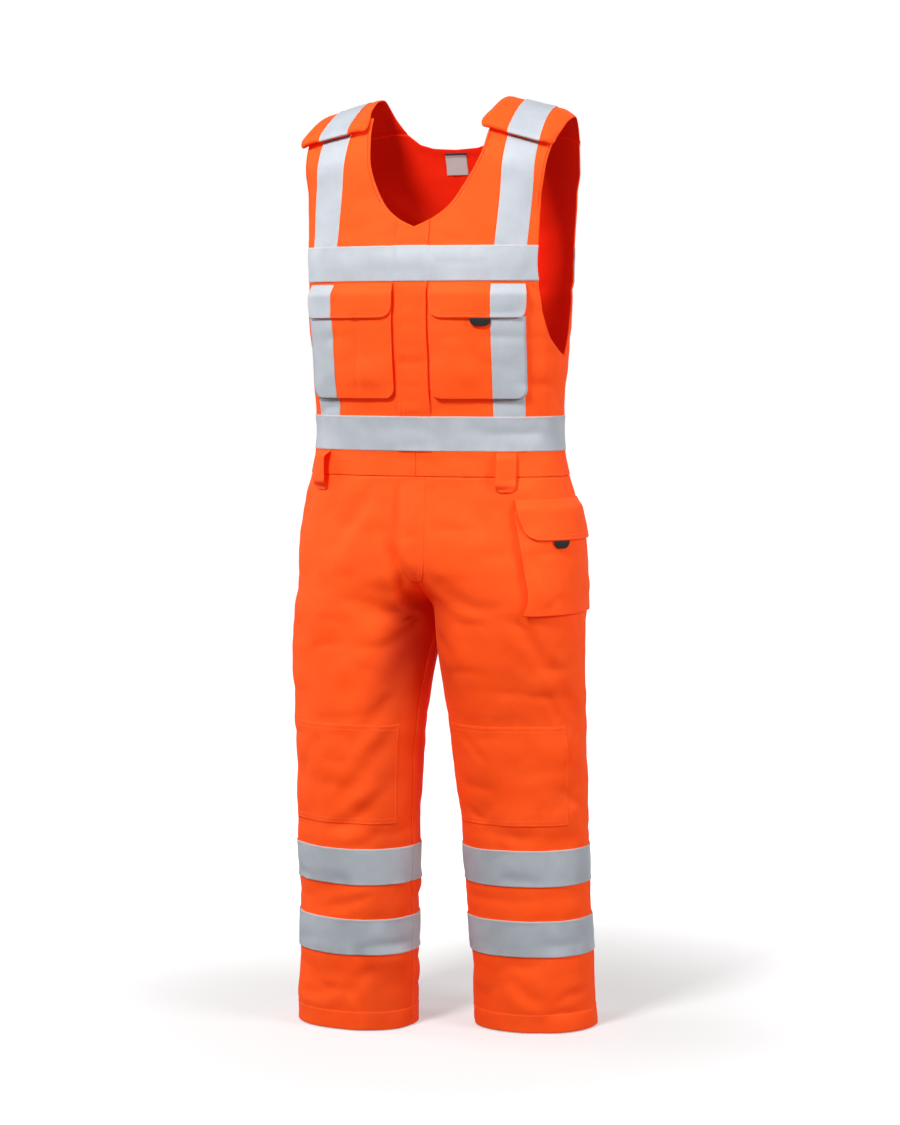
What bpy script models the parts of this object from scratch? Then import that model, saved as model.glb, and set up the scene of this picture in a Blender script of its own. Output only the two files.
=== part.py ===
"""High-visibility bib overalls, filled out as if worn, with no wearer.

The garment stands on nothing: a wearer's shoulders hold it up, so the origin lies between the undersides of
the two shoulder straps. +Z is up, the front faces -Y, and the wearer's left is +X. Sizes below are in
millimetres, and heights are measured from a level 8 mm above the hem. Every cut piece takes its points from
one body form: a stack of rounded sections, with the shoulders as a saddle over their top. A place on the form
is named by its side, its face, the distance along the cloth from the middle (or from the inner leg) and its
height.
"""

import math
from typing import NamedTuple

import bmesh
import bpy
import numpy as np

# Cloth and seams
CLOTH = 1.5
TAPE = 1.0
GAP = 0.3
POCKET_CLOTH = 2.5
LOOP_CLOTH = 1.5

# Heights above the hem
HEM = -8.0
WAIST_SEAM = 805.0
BIB_SEAM = 866.0
WAIST_TAPE = 841.0
CHEST_TAPE = 1081.0
NECK_POINT = 1158.0
FRONT_TOP = 1318.0
UNDER_STRAP = 1300.0
BACK_TOP = 1300.0
BACK_NECK = 1277.0
ARMHOLE_BOTTOM = 976.0
POCKET_BOTTOM = 918.0
FLAP_BOTTOM = 1030.0
SADDLE_START = 1235.0
SADDLE_RISE = 150.0
LEG_TAPES = (105.0, 210.0)
KNEE_PATCH = (300.0, 447.0)

# Widths
TAPE_WIDTH = 50.0
LEG_TAPE_WIDTH = 54.0
WAIST_TAPE_TOP = WAIST_TAPE + TAPE_WIDTH
CHEST_TAPE_TOP = CHEST_TAPE + TAPE_WIDTH
TAPE_INNER = 118.0
TAPE_MIDDLE = TAPE_INNER + TAPE_WIDTH / 2
TAPE_OUTER = TAPE_INNER + TAPE_WIDTH
PLACKET_HALF = 24.0
POCKET_INNER = 30.0
POCKET_LINES = (60.0, 89.0)

# How far the outer faces of the proud pieces stand off the cloth behind them
POCKET_LIFT = 6.4
LOOP_LIFT = 5.4

# The shoulder saddle
CREST_Y = 30.0
CREST_HEIGHT = 1348.0
CREST_INNER = 95.0
CREST_FALL = 0.2
SADDLE_PULL = 1.25

# The origin: the height of the strap's underside on its centre line
SHOULDER = 1338.0

LEFT, RIGHT = 1, -1
FRONT, BACK = -1, 1


class Section(NamedTuple):
    """One level outline of the left half: a rounded box, cut off at the middle where it crosses it."""

    height: float
    centre_x: float
    centre_y: float
    half_width: float
    front: float
    back: float
    front_power: float
    back_power: float
    turn: float


SECTIONS = (
    #       height  centre x,y   half   front  back   powers     turn
    Section(-8.0, 127.5, 30.0, 92.0, 78.0, 78.0, 2.1, 2.1, 10.0),
    Section(60.0, 125.5, 26.0, 90.5, 77.5, 78.0, 2.1, 2.1, 10.0),
    Section(200.0, 121.0, 15.0, 91.0, 77.0, 80.0, 2.1, 2.1, 12.0),
    Section(337.0, 117.0, 4.0, 95.0, 80.0, 82.0, 2.1, 2.1, 13.0),
    Section(440.0, 113.5, -4.0, 100.0, 84.0, 86.0, 2.1, 2.1, 15.0),
    Section(526.0, 110.5, -8.0, 106.0, 92.0, 96.0, 2.15, 2.15, 12.0),
    Section(575.0, 109.0, -6.0, 108.0, 99.0, 108.0, 2.2, 2.2, 6.0),
    Section(608.0, 107.6, -3.0, 107.5, 104.0, 119.0, 2.25, 2.3, 0.0),
    Section(618.0, 105.5, -2.0, 108.5, 105.5, 122.0, 2.25, 2.35, 0.0),
    Section(630.0, 100.0, -1.0, 113.0, 107.0, 125.0, 2.3, 2.4, 0.0),
    Section(645.0, 88.0, 0.0, 124.5, 109.0, 128.0, 2.3, 2.5, 0.0),
    Section(670.0, 62.0, 0.0, 149.5, 112.0, 131.0, 2.3, 2.5, 0.0),
    Section(700.0, 34.0, 0.0, 176.5, 113.0, 131.0, 2.3, 2.5, 0.0),
    Section(735.0, 12.0, 0.0, 195.5, 110.5, 126.0, 2.3, 2.45, 0.0),
    Section(770.0, 2.0, 0.0, 200.0, 106.0, 116.0, 2.35, 2.4, 0.0),
    Section(806.0, 0.0, 0.0, 193.0, 101.5, 103.0, 2.4, 2.4, 0.0),
    Section(841.0, 0.0, 0.0, 186.5, 100.0, 95.0, 2.4, 2.4, 0.0),
    Section(866.0, 0.0, 0.0, 184.5, 101.0, 93.0, 2.4, 2.4, 0.0),
    Section(900.0, 0.0, 0.0, 184.5, 104.5, 96.0, 2.45, 2.45, 0.0),
    Section(975.0, 0.0, 0.0, 188.0, 113.0, 107.0, 2.6, 2.6, 0.0),
    Section(1040.0, 0.0, 0.0, 191.0, 117.5, 113.0, 2.8, 2.8, 0.0),
    Section(1100.0, 0.0, 0.0, 193.5, 117.5, 114.0, 2.9, 2.9, 0.0),
    Section(1150.0, 0.0, 0.0, 196.0, 108.5, 107.0, 3.0, 3.0, 0.0),
    Section(1195.0, 0.0, 0.0, 199.0, 100.0, 95.0, 3.1, 3.1, 0.0),
    Section(1235.0, 0.0, 0.0, 205.0, 95.0, 82.0, 3.2, 3.2, 0.0),
)


class Stride(NamedTuple):
    """How far the right leg stands in front of the left."""

    height: float
    ahead: float


STRIDES = (
    Stride(-8.0, 70.0),
    Stride(300.0, 60.0),
    Stride(450.0, 42.0),
    Stride(560.0, 14.0),
    Stride(640.0, 0.0),
)


class Edge(NamedTuple):
    """A point of a cut edge: its height, and its distance from the middle on the left and on the right."""

    height: float
    left: float
    right: float


NECKLINE = (
    Edge(NECK_POINT, 0.0, 0.0),
    Edge(1169.0, 25.0, 23.0),
    Edge(1187.0, 49.0, 44.0),
    Edge(1210.0, 66.0, 58.0),
    Edge(1245.0, 86.0, 71.0),
    Edge(1270.0, 94.0, 76.0),
    Edge(1296.0, 96.0, 82.0),
    Edge(FRONT_TOP, 98.0, 86.0),
)
BACK_NECKLINE = (
    Edge(BACK_NECK, 0.0, 0.0),
    Edge(1279.0, 34.0, 34.0),
    Edge(1285.0, 54.0, 54.0),
    Edge(BACK_TOP, 72.0, 72.0),
)
FRONT_ARMHOLE = (
    Edge(ARMHOLE_BOTTOM, 250.4, 250.4),
    Edge(984.0, 228.0, 228.0),
    Edge(1012.0, 202.0, 202.0),
    Edge(1054.0, 190.0, 190.0),
    Edge(1106.0, 183.0, 183.0),
    Edge(1194.0, 182.0, 182.0),
    Edge(1245.0, 187.0, 187.0),
    Edge(FRONT_TOP, 198.0, 198.0),
)
BACK_ARMHOLE = (
    Edge(ARMHOLE_BOTTOM, 246.0, 246.0),
    Edge(1012.0, 236.0, 236.0),
    Edge(1060.0, 228.0, 228.0),
    Edge(1130.0, 224.0, 224.0),
    Edge(1200.0, 222.0, 222.0),
    Edge(BACK_TOP, 215.0, 215.0),
)
FLY = (
    Edge(656.0, 6.0, 6.0),
    Edge(667.0, 14.0, 16.0),
    Edge(680.0, 16.0, 21.0),
    Edge(700.0, 16.0, 22.0),
    Edge(740.0, 16.0, 22.0),
    Edge(774.0, 16.0, 22.0),
    Edge(WAIST_SEAM - GAP, 16.0, 22.0),
)


class StrapRow(NamedTuple):
    """One row of points across a shoulder strap, from its seam on the back to its folded front end."""

    face: int
    height: float
    slant: float
    inner: float
    outer: float
    low: float
    high: float


STRAP = (
    StrapRow(BACK, 1300.3, 0.0, 73.0, 214.0, -1.5, 0.0),
    StrapRow(BACK, 1328.0, 0.0, 88.0, 211.0, -1.5, 0.0),
    StrapRow(BACK, 1358.0, 0.0, 95.0, 209.0, -1.5, 0.0),
    StrapRow(FRONT, 1385.0, 0.0, 97.0, 208.0, -1.5, 0.0),
    StrapRow(FRONT, 1366.0, 0.0, 96.0, 206.0, -1.2, 0.3),
    StrapRow(FRONT, 1345.0, 0.0, 94.0, 203.0, 0.2, 1.7),
    StrapRow(FRONT, 1326.0, 0.0, 92.0, 200.0, 1.9, 3.4),
    StrapRow(FRONT, 1309.0, -0.10, 88.0, 198.0, 1.9, 4.2),
    StrapRow(FRONT, 1299.0, -0.12, 88.0, 197.0, 1.9, 7.0),
    StrapRow(FRONT, 1295.0, -0.12, 89.0, 196.0, 2.4, 5.6),
)


class Loop(NamedTuple):
    """A belt loop: the distance of its centre from the middle, and its face and side."""

    name: str
    side: int
    face: int
    centre: float


LOOP_WIDTH = 27.0
LOOP_END_SHARE = 0.7
LOOP_ROWS = ((783.0, 0.0), (787.0, 1.0), (WAIST_SEAM, 1.0), (822.0, 1.0), (836.0, 1.0), (840.0, 0.0))
LOOPS = (
    Loop("belt_loop_front_left", LEFT, FRONT, 136.0),
    Loop("belt_loop_front_right", RIGHT, FRONT, 160.0),
    Loop("belt_loop_back_left", LEFT, BACK, 136.0),
    Loop("belt_loop_back_right", RIGHT, BACK, 136.0),
)

# Distances from the middle at which the bib has lines of points, out to the tape; the rest is shared out
BIB_LINES = (0.0, PLACKET_HALF, POCKET_INNER, *POCKET_LINES, TAPE_INNER, TAPE_MIDDLE, TAPE_OUTER)
BACK_LINES = (0.0, 45.0, 86.0, TAPE_INNER, TAPE_MIDDLE, TAPE_OUTER)
OUTER_STEPS = 3
BIB_ROWS = (
    BIB_SEAM, WAIST_TAPE_TOP, POCKET_BOTTOM, 947.0, ARMHOLE_BOTTOM, 984.0, 1002.0, FLAP_BOTTOM, 1056.0,
    CHEST_TAPE, CHEST_TAPE_TOP, NECK_POINT, 1169.0, 1187.0, 1210.0, 1245.0, 1282.0, FRONT_TOP,
)  # fmt: skip
BACK_ROWS = (
    BIB_SEAM, WAIST_TAPE_TOP, 933.0, ARMHOLE_BOTTOM, 1004.0, 1040.0, CHEST_TAPE, CHEST_TAPE_TOP,
    1180.0, SADDLE_START, 1262.0, BACK_TOP,
)  # fmt: skip
CARGO_LINES = (0.77, 0.88)
LEG_LINES = (0.0, 0.12, 0.26, 0.40, 0.54, 0.66, *CARGO_LINES, 1.0)
LEG_ROWS = (
    HEM, LEG_TAPES[0], LEG_TAPES[0] + LEG_TAPE_WIDTH, LEG_TAPES[1], LEG_TAPES[1] + LEG_TAPE_WIDTH,
    KNEE_PATCH[0], 373.0, KNEE_PATCH[1], 510.0, 560.0, 600.0, 618.0, 631.0, 647.0,
    667.0, 700.0, 740.0, 774.0, WAIST_SEAM,
)  # fmt: skip

ORANGE = (1.0, 0.106, 0.012, 1.0)
SILVER = (0.58, 0.62, 0.66, 1.0)
BLACK = (0.012, 0.012, 0.013, 1.0)
GREY = (0.42, 0.42, 0.43, 1.0)


def smooth(heights, values, height):
    """The value at a height on a curve through a table, with no overshoot between its rows."""
    knots = np.asarray(heights, float)
    levels = np.asarray(values, float)
    span = np.diff(knots)
    rise = np.diff(levels) / span
    slope = np.zeros(len(levels))
    slope[0], slope[-1] = rise[0], rise[-1]
    for i in range(1, len(levels) - 1):
        if rise[i - 1] * rise[i] > 0:
            before = 2 * span[i] + span[i - 1]
            after = span[i] + 2 * span[i - 1]
            slope[i] = (before + after) / (before / rise[i - 1] + after / rise[i])
    height = np.clip(height, knots[0], knots[-1])
    i = np.clip(np.searchsorted(knots, height, side="right") - 1, 0, len(span) - 1)
    t = (height - knots[i]) / span[i]
    ease = t * t * (3 - 2 * t)
    return (
        (1 - ease) * levels[i]
        + ease * levels[i + 1]
        + span[i] * t * (1 - t) * ((1 - t) * slope[i] - t * slope[i + 1])
    )


def section_at(height):
    heights = [row.height for row in SECTIONS]
    return Section(*(float(smooth(heights, column, height)) for column in zip(*SECTIONS)))


def outline(height, side, face):
    """Half of one level outline, from the middle or the inner leg to the side seam, as even short chords."""
    row = section_at(height)
    depth, power = (row.front, row.front_power) if face == FRONT else (row.back, row.back_power)
    angle = np.linspace(math.pi, 0, 361)
    along = row.half_width * np.sign(np.cos(angle)) * np.abs(np.cos(angle)) ** (2 / power)
    across = face * depth * np.abs(np.sin(angle)) ** (2 / power)
    turn = math.radians(row.turn)
    x = row.centre_x + along * math.cos(turn) - across * math.sin(turn)
    y = row.centre_y + along * math.sin(turn) + across * math.cos(turn)
    y = y + side * 0.5 * smooth([s.height for s in STRIDES], [s.ahead for s in STRIDES], height)
    if x.min() < 0:
        last = np.nonzero(x < 0)[0][-1]
        part = -x[last] / (x[last + 1] - x[last])
        start = y[last] + part * (y[last + 1] - y[last])
        x = np.append(0.0, x[last + 1 :])
        y = np.append(start, y[last + 1 :])
    reach = np.append(0.0, np.cumsum(np.hypot(np.diff(x), np.diff(y))))
    return x, y, reach


class Chart:
    """One face of one side of the form. It turns a distance and a height into a point and its normal."""

    STEP = 5.0
    ACROSS = 121

    def __init__(self, side, face):
        heights = np.append(np.arange(HEM, SADDLE_START, self.STEP), SADDLE_START)
        rows, lengths = [], []
        for height in heights:
            x, y, reach = outline(height, side, face)
            at = np.linspace(0, reach[-1], self.ACROSS)
            level = np.full(self.ACROSS, height)
            rows.append(np.stack([side * np.interp(at, reach, x), np.interp(at, reach, y), level], 1))
            lengths.append(reach[-1])
        base = rows[-1]
        slope = (base[:, 1] - rows[-2][:, 1]) / self.STEP
        crest = CREST_HEIGHT - CREST_FALL * np.maximum(np.abs(base[:, 0]) - CREST_INNER, 0)
        lift = SADDLE_PULL * (crest - SADDLE_START)
        sweep = SADDLE_PULL * (CREST_Y - base[:, 1])
        for rise in np.arange(self.STEP, SADDLE_RISE + 0.1, self.STEP):
            t = rise / SADDLE_RISE
            ease = t * t * (3 - 2 * t)
            leave = t * (1 - t) ** 2
            arrive = -t * t * (1 - t)
            y = (1 - ease) * base[:, 1] + ease * CREST_Y + leave * lift * slope + arrive * sweep
            z = (1 - ease) * SADDLE_START + ease * crest + leave * lift
            rows.append(np.stack([base[:, 0], y, z], 1))
            lengths.append(lengths[-1])
            heights = np.append(heights, SADDLE_START + rise)
        self.heights = heights
        self.lengths = np.array(lengths)
        self.points = np.array(rows)
        normals = np.cross(np.gradient(self.points, axis=1), np.gradient(self.points, axis=0))
        normals *= -side * face
        self.normals = normals / np.maximum(np.linalg.norm(normals, axis=2, keepdims=True), 1e-9)

    def length(self, height):
        return float(np.interp(height, self.heights, self.lengths))

    def at(self, distance, height):
        row = np.interp(height, self.heights, np.arange(len(self.heights)))
        column = np.clip(distance / self.length(height), 0, 1) * (self.ACROSS - 1)
        r = min(int(row), len(self.heights) - 2)
        c = min(int(column), self.ACROSS - 2)
        a, b = row - r, column - c
        found = []
        for table in (self.points, self.normals):
            near = (1 - b) * table[r, c] + b * table[r, c + 1]
            far = (1 - b) * table[r + 1, c] + b * table[r + 1, c + 1]
            found.append((1 - a) * near + a * far)
        point, normal = found
        return point, normal / np.linalg.norm(normal)


CHARTS = {(side, face): Chart(side, face) for side in (LEFT, RIGHT) for face in (FRONT, BACK)}


class Spot(NamedTuple):
    """A place on the form, and how far a piece's surface lies outside it there."""

    side: int
    face: int
    distance: float
    height: float
    lift: float = 0.0

    def point(self):
        place, normal = CHARTS[self.side, self.face].at(self.distance, self.height)
        return (place + self.lift * normal - np.array([0, 0, SHOULDER])) / 1000


def edge_at(table, side, height):
    heights = [row.height for row in table]
    values = [row.left if side == LEFT else row.right for row in table]
    return float(np.interp(height, heights, values))


def material(name, color, roughness, metallic=0.0):
    made = bpy.data.materials.new(name)
    made.use_nodes = True
    shader = made.node_tree.nodes["Principled BSDF"]
    shader.inputs["Base Color"].default_value = color
    shader.inputs["Roughness"].default_value = roughness
    shader.inputs["Metallic"].default_value = metallic
    made.diffuse_color = color
    return made


def shell(name, outside, inside, color=ORANGE, roughness=0.8, metallic=0.0):
    """A closed wall between two grids of spots that have the same rows and columns.

    Each cell splits along the same diagonal of the form, so pieces that lie on each other stay parallel.
    """
    rows, columns = len(outside), len(outside[0])
    mesh = bmesh.new()
    skins = [[[mesh.verts.new(spot.point()) for spot in row] for row in grid] for grid in (outside, inside)]
    for r in range(rows - 1):
        for c in range(columns - 1):
            across = outside[r][c + 1].distance - outside[r][c].distance
            upward = outside[r + 1][c].height - outside[r][c].height
            for grid in skins:
                corners = (grid[r][c], grid[r][c + 1], grid[r + 1][c + 1], grid[r + 1][c])
                if across * upward < 0:
                    corners = corners[1:] + corners[:1]
                mesh.faces.new((corners[0], corners[1], corners[2]))
                mesh.faces.new((corners[0], corners[2], corners[3]))
    rim = [(0, c) for c in range(columns)]
    rim += [(r, columns - 1) for r in range(1, rows)]
    rim += [(rows - 1, c) for c in range(columns - 2, -1, -1)]
    rim += [(r, 0) for r in range(rows - 2, 0, -1)]
    for (r, c), (nr, nc) in zip(rim, rim[1:] + rim[:1]):
        mesh.faces.new((skins[0][r][c], skins[0][nr][nc], skins[1][nr][nc], skins[1][r][c]))
    bmesh.ops.recalc_face_normals(mesh, faces=mesh.faces)
    data = bpy.data.meshes.new(name)
    mesh.to_mesh(data)
    mesh.free()
    piece = bpy.data.objects.new(name, data)
    piece.data.materials.append(material(name, color, roughness, metallic))
    bpy.context.scene.collection.objects.link(piece)
    return piece


def lifted(grid, lift):
    """The same grid of spots moved out by a number, or by a number for each row."""
    by_row = lift if isinstance(lift, (list, tuple)) else [lift] * len(grid)
    return [[spot._replace(lift=amount) for spot in row] for row, amount in zip(grid, by_row)]


def wall(name, grid, low=-CLOTH, high=0.0, **look):
    return shell(name, lifted(grid, high), lifted(grid, low), **look)


def tape(name, grid, low=GAP, high=GAP + TAPE):
    return wall(name, grid, low, high, color=SILVER, roughness=0.4, metallic=0.35)


def both_sides(face, rows, columns_of):
    """Rows of spots that run from the right side through the middle to the left side."""
    grid = []
    for height in rows:
        halves = {side: columns_of(side, height) for side in (LEFT, RIGHT)}
        right = [Spot(RIGHT, face, at, height) for at in reversed(halves[RIGHT]) if at > 0]
        grid.append(right + [Spot(LEFT, face, at, height) for at in halves[LEFT]])
    return grid


def shared_out(start, stop, steps):
    return [start + (stop - start) * i / steps for i in range(1, steps + 1)]


def side_edge(side, face, height):
    """The outer edge of a bib panel: the side seam, and above it the armhole."""
    if height <= ARMHOLE_BOTTOM:
        return CHARTS[side, face].length(height) - GAP / 2
    return edge_at(FRONT_ARMHOLE if face == FRONT else BACK_ARMHOLE, side, height) - GAP / 2


def bib_columns(side, height):
    """Distances of the front bib's lines of points. Above the neck point they close up round the neckline."""
    neck = edge_at(NECKLINE, side, height) if height > NECK_POINT else 0.0
    lines = [neck + (TAPE_INNER - neck) * at / TAPE_INNER if at < TAPE_INNER else at for at in BIB_LINES]
    return lines + shared_out(TAPE_OUTER, side_edge(side, FRONT, height), OUTER_STEPS)


def back_columns(side, height):
    return list(BACK_LINES) + shared_out(TAPE_OUTER, side_edge(side, BACK, height), OUTER_STEPS)


def within(rows, low, high):
    return [height for height in rows if low <= height <= high]


def trimmed(rows, start=GAP / 2, end=GAP / 2):
    """The rows with their ends pulled in, to leave the gap that a seam keeps."""
    return [rows[0] + start, *rows[1:-1], rows[-1] - end]


def columns_between(columns, low, high):
    return [at for at in columns if low - 0.01 <= at <= high + 0.01]


def side_name(side):
    return "left" if side == LEFT else "right"


def build_front_bib(side):
    grid = []
    for height in trimmed(BIB_ROWS, GAP / 2, 0):
        columns = bib_columns(side, height)
        columns[0] += GAP / 2
        grid.append([Spot(side, FRONT, at, height) for at in columns])
    wall(f"front_bib_{side_name(side)}", grid)


def build_placket():
    """The strip over the zip, in the two stretches that the level tapes leave."""
    stretches = (
        ("placket_lower", trimmed(within(BIB_ROWS, WAIST_TAPE_TOP, CHEST_TAPE), GAP, GAP)),
        ("placket_upper", trimmed(within(BIB_ROWS, CHEST_TAPE_TOP, NECK_POINT), GAP, 0)),
    )
    for name, rows in stretches:
        wall(name, both_sides(FRONT, rows, lambda side, height: [0.0, PLACKET_HALF]), GAP, GAP + CLOTH)


def build_back_bib():
    """One panel. Its top edge dips from the strap seams to the back neck."""
    rows = trimmed(BACK_ROWS)
    grid = both_sides(BACK, rows, back_columns)
    neck = [(row.left, row.height) for row in BACK_NECKLINE]
    for r, row in enumerate(grid):
        if rows[r] <= SADDLE_START:
            continue
        part = (rows[r] - SADDLE_START) / (rows[-1] - SADDLE_START)
        for c, spot in enumerate(row):
            top = float(np.interp(spot.distance, [at for at, _ in neck], [level for _, level in neck]))
            row[c] = spot._replace(height=SADDLE_START + part * (top - GAP / 2 - SADDLE_START))
    wall("back_bib", grid)


def strap_grid(side, inset=None):
    grid = []
    for row in STRAP:
        columns = [row.inner, 0.5 * (row.inner + TAPE_INNER), TAPE_INNER, TAPE_MIDDLE, TAPE_OUTER, row.outer]
        if inset:
            columns = columns_between(columns, *inset)
        grid.append([Spot(side, row.face, at, row.height + row.slant * (at - TAPE_INNER)) for at in columns])
    return grid


def build_strap(side):
    name = side_name(side)
    low = [row.low for row in STRAP]
    high = [row.high for row in STRAP]
    wall(f"shoulder_strap_{name}", strap_grid(side), low, high)
    over = strap_grid(side, (TAPE_INNER, TAPE_OUTER))
    tape(f"strap_tape_{name}", over, [at + GAP for at in high], [at + GAP + TAPE for at in high])


def build_waistband():
    rows = trimmed([WAIST_SEAM, 820.0, WAIST_TAPE, BIB_SEAM])
    for side in (LEFT, RIGHT):
        grid = []
        for height in rows:
            columns = bib_columns(side, height)
            columns[0] += GAP / 2
            grid.append([Spot(side, FRONT, at, height) for at in columns])
        wall(f"waistband_front_{side_name(side)}", grid)
    wall("waistband_back", both_sides(BACK, rows, back_columns))


def leg_columns(side, face, height):
    length = CHARTS[side, face].length(height)
    return [min(max(part * length, GAP / 2), length - GAP / 2) for part in LEG_LINES]


def leg_grid(side, face, rows):
    return [[Spot(side, face, at, height) for at in leg_columns(side, face, height)] for height in rows]


def build_trouser_panel(side, face):
    word = "front" if face == FRONT else "back"
    wall(f"trouser_{word}_{side_name(side)}", leg_grid(side, face, trimmed(LEG_ROWS, 0, GAP / 2)))


def build_fly():
    """The shield over the fly, with the round end that its stitching follows."""
    grid = []
    for row in FLY:
        places = [(RIGHT, row.right), (LEFT, 0.0), (LEFT, row.left)]
        grid.append([Spot(side, FRONT, at, row.height) for side, at in places])
    wall("fly_shield", grid, GAP, GAP + CLOTH)


def tray(name, size, spots, lift, cloth, rim_lift=GAP):
    """A pocket bag, open at the top: a front that stands off the panel, with sides that come back to it.

    spots(row, column, inset) names a place, with inset 0 outside and cloth inside.
    """
    rows, columns = size
    grids = []
    for inset, top in ((0.0, lift), (cloth, lift - cloth)):
        grid = []
        for r in range(rows):
            line = []
            for c in range(columns):
                on_rim = r == 0 or c in (0, columns - 1)
                line.append(spots(r, c, inset)._replace(lift=rim_lift if on_rim else top))
            grid.append(line)
        grids.append(grid)
    shell(name, *grids)


def inset_ends(values, amount, edge):
    """A list of positions whose ends are moved in, and whose next ones follow at the wall's slope."""
    moved = list(values)
    moved[0] = values[0] + amount
    moved[1] = values[0] + amount + edge
    moved[-1] = values[-1] - amount
    moved[-2] = values[-1] - amount - edge
    return moved


# A bag's front starts this far in from its outline. Its wall leans over that width.
WALL_SLOPE = 1.5
CHEST_BAG_ROWS = (POCKET_BOTTOM, POCKET_BOTTOM + 1, 947.0, ARMHOLE_BOTTOM, 1002.0, FLAP_BOTTOM, 1064.0)
BAG_TAPE_OUTER = TAPE_OUTER - 1
CHEST_BAG_COLUMNS = (
    POCKET_INNER, POCKET_INNER + 1, *POCKET_LINES, TAPE_INNER, TAPE_MIDDLE, BAG_TAPE_OUTER, TAPE_OUTER,
)  # fmt: skip
BAG_CORNER = 4.0


def build_chest_pocket(side):
    name = side_name(side)

    def spot(r, c, inset):
        columns = inset_ends(CHEST_BAG_COLUMNS, inset, WALL_SLOPE)
        rows = list(CHEST_BAG_ROWS)
        rows[0] += inset
        rows[1] = rows[0] + WALL_SLOPE
        corner = BAG_CORNER if r == 0 and c in (0, len(columns) - 1) else 0.0
        return Spot(side, FRONT, columns[c] + (corner if c == 0 else -corner), rows[r])

    size = (len(CHEST_BAG_ROWS), len(CHEST_BAG_COLUMNS))
    tray(f"chest_pocket_{name}", size, spot, POCKET_LIFT, POCKET_CLOTH)
    rows = [POCKET_BOTTOM + 2, *within(CHEST_BAG_ROWS, POCKET_BOTTOM + 2, FLAP_BOTTOM - 1), FLAP_BOTTOM - 1]
    across = (TAPE_INNER, TAPE_MIDDLE, BAG_TAPE_OUTER)
    grid = [[Spot(side, FRONT, at, height) for at in across] for height in rows]
    tape(f"pocket_tape_{name}", grid, POCKET_LIFT + GAP, POCKET_LIFT + GAP + TAPE)


class FlapRow(NamedTuple):
    """One row of a flap: its height, how far its ends draw in, and its lower surface's lift."""

    height: float
    draw_in: float
    low: float


CHEST_FLAP = (
    FlapRow(FLAP_BOTTOM, 12.0, POCKET_LIFT + GAP),
    FlapRow(1034.0, 4.0, POCKET_LIFT + GAP),
    FlapRow(1042.0, 0.0, POCKET_LIFT + GAP),
    FlapRow(1056.0, 0.0, POCKET_LIFT + GAP),
    FlapRow(1068.0, 0.0, POCKET_LIFT + GAP),
    FlapRow(1079.0, 0.0, GAP),
)


def build_chest_flap(side):
    name = side_name(side)
    grid, over = [], []
    for row in CHEST_FLAP:
        taped = [TAPE_INNER, TAPE_MIDDLE, TAPE_OUTER - row.draw_in]
        whole = [POCKET_INNER + row.draw_in, *POCKET_LINES, *taped]
        grid.append([Spot(side, FRONT, at, row.height) for at in whole])
        over.append([Spot(side, FRONT, at, row.height) for at in taped])
    low = [row.low for row in CHEST_FLAP]
    wall(f"chest_flap_{name}", grid, low, [at + CLOTH for at in low])
    tape(f"flap_tape_{name}", over, [at + CLOTH + GAP for at in low], [at + CLOTH + GAP + TAPE for at in low])


class Tab(NamedTuple):
    """A short black pull tab: its centre's distance from the middle, the edge it hangs from, half its width."""

    name: str
    centre: float
    edge: float
    half_width: float


CHEST_TAB = Tab("chest_tab", 101.0, FLAP_BOTTOM, 14.0)
CARGO_FLAP_BOTTOM = 715.0
CARGO_TAB_SHARE = 0.80
TAB_DROP = 11.0
TAB_ROUND = ((1.0, 0.45), (0.8, 0.8), (0.4, 1.0), (0.0, 1.0))


def build_tab(tab):
    grid = []
    for part, width in TAB_ROUND:
        height = tab.edge - GAP - part * TAB_DROP
        grid.append([Spot(LEFT, FRONT, tab.centre + tab.half_width * width * k, height) for k in (-1, 0, 1)])
    low = POCKET_LIFT + GAP
    wall(tab.name, grid, low, low + CLOTH, color=BLACK, roughness=0.7)


class CargoRow(NamedTuple):
    """One row of the cargo pocket: its height, and the share of the front and back panels it reaches over."""

    height: float
    front: float
    back: float


CARGO_BAG = (
    CargoRow(612.0, 0.67, 0.72),
    CargoRow(613.5, 0.655, 0.71),
    CargoRow(631.0, 0.637, 0.695),
    CargoRow(647.0, 0.617, 0.68),
    CargoRow(667.0, 0.602, 0.67),
    CargoRow(700.0, 0.588, 0.655),
    CargoRow(740.0, 0.573, 0.64),
    CargoRow(754.0, 0.571, 0.635),
)
CARGO_FLAP = (
    CargoRow(CARGO_FLAP_BOTTOM, 0.67, 0.72),
    CargoRow(719.0, 0.63, 0.68),
    CargoRow(726.0, 0.605, 0.655),
    CargoRow(740.0, 0.587, 0.64),
    CargoRow(757.0, 0.575, 0.63),
    CargoRow(774.0, 0.571, 0.625),
)


def cargo_columns(row, inset):
    """Spots across the side of the left thigh, from the front panel over the side seam to the back panel."""
    front = CHARTS[LEFT, FRONT].length(row.height)
    back = CHARTS[LEFT, BACK].length(row.height)
    start = row.front * front + inset
    stop = row.back * back + inset
    near, far = CARGO_LINES
    ahead = (start, start + WALL_SLOPE, 0.5 * (start + near * front), near * front, far * front, front)
    behind = (far * back, 0.5 * (stop + far * back), stop + WALL_SLOPE, stop)
    line = [Spot(LEFT, FRONT, at, row.height) for at in ahead]
    return line + [Spot(LEFT, BACK, at, row.height) for at in behind]


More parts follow.
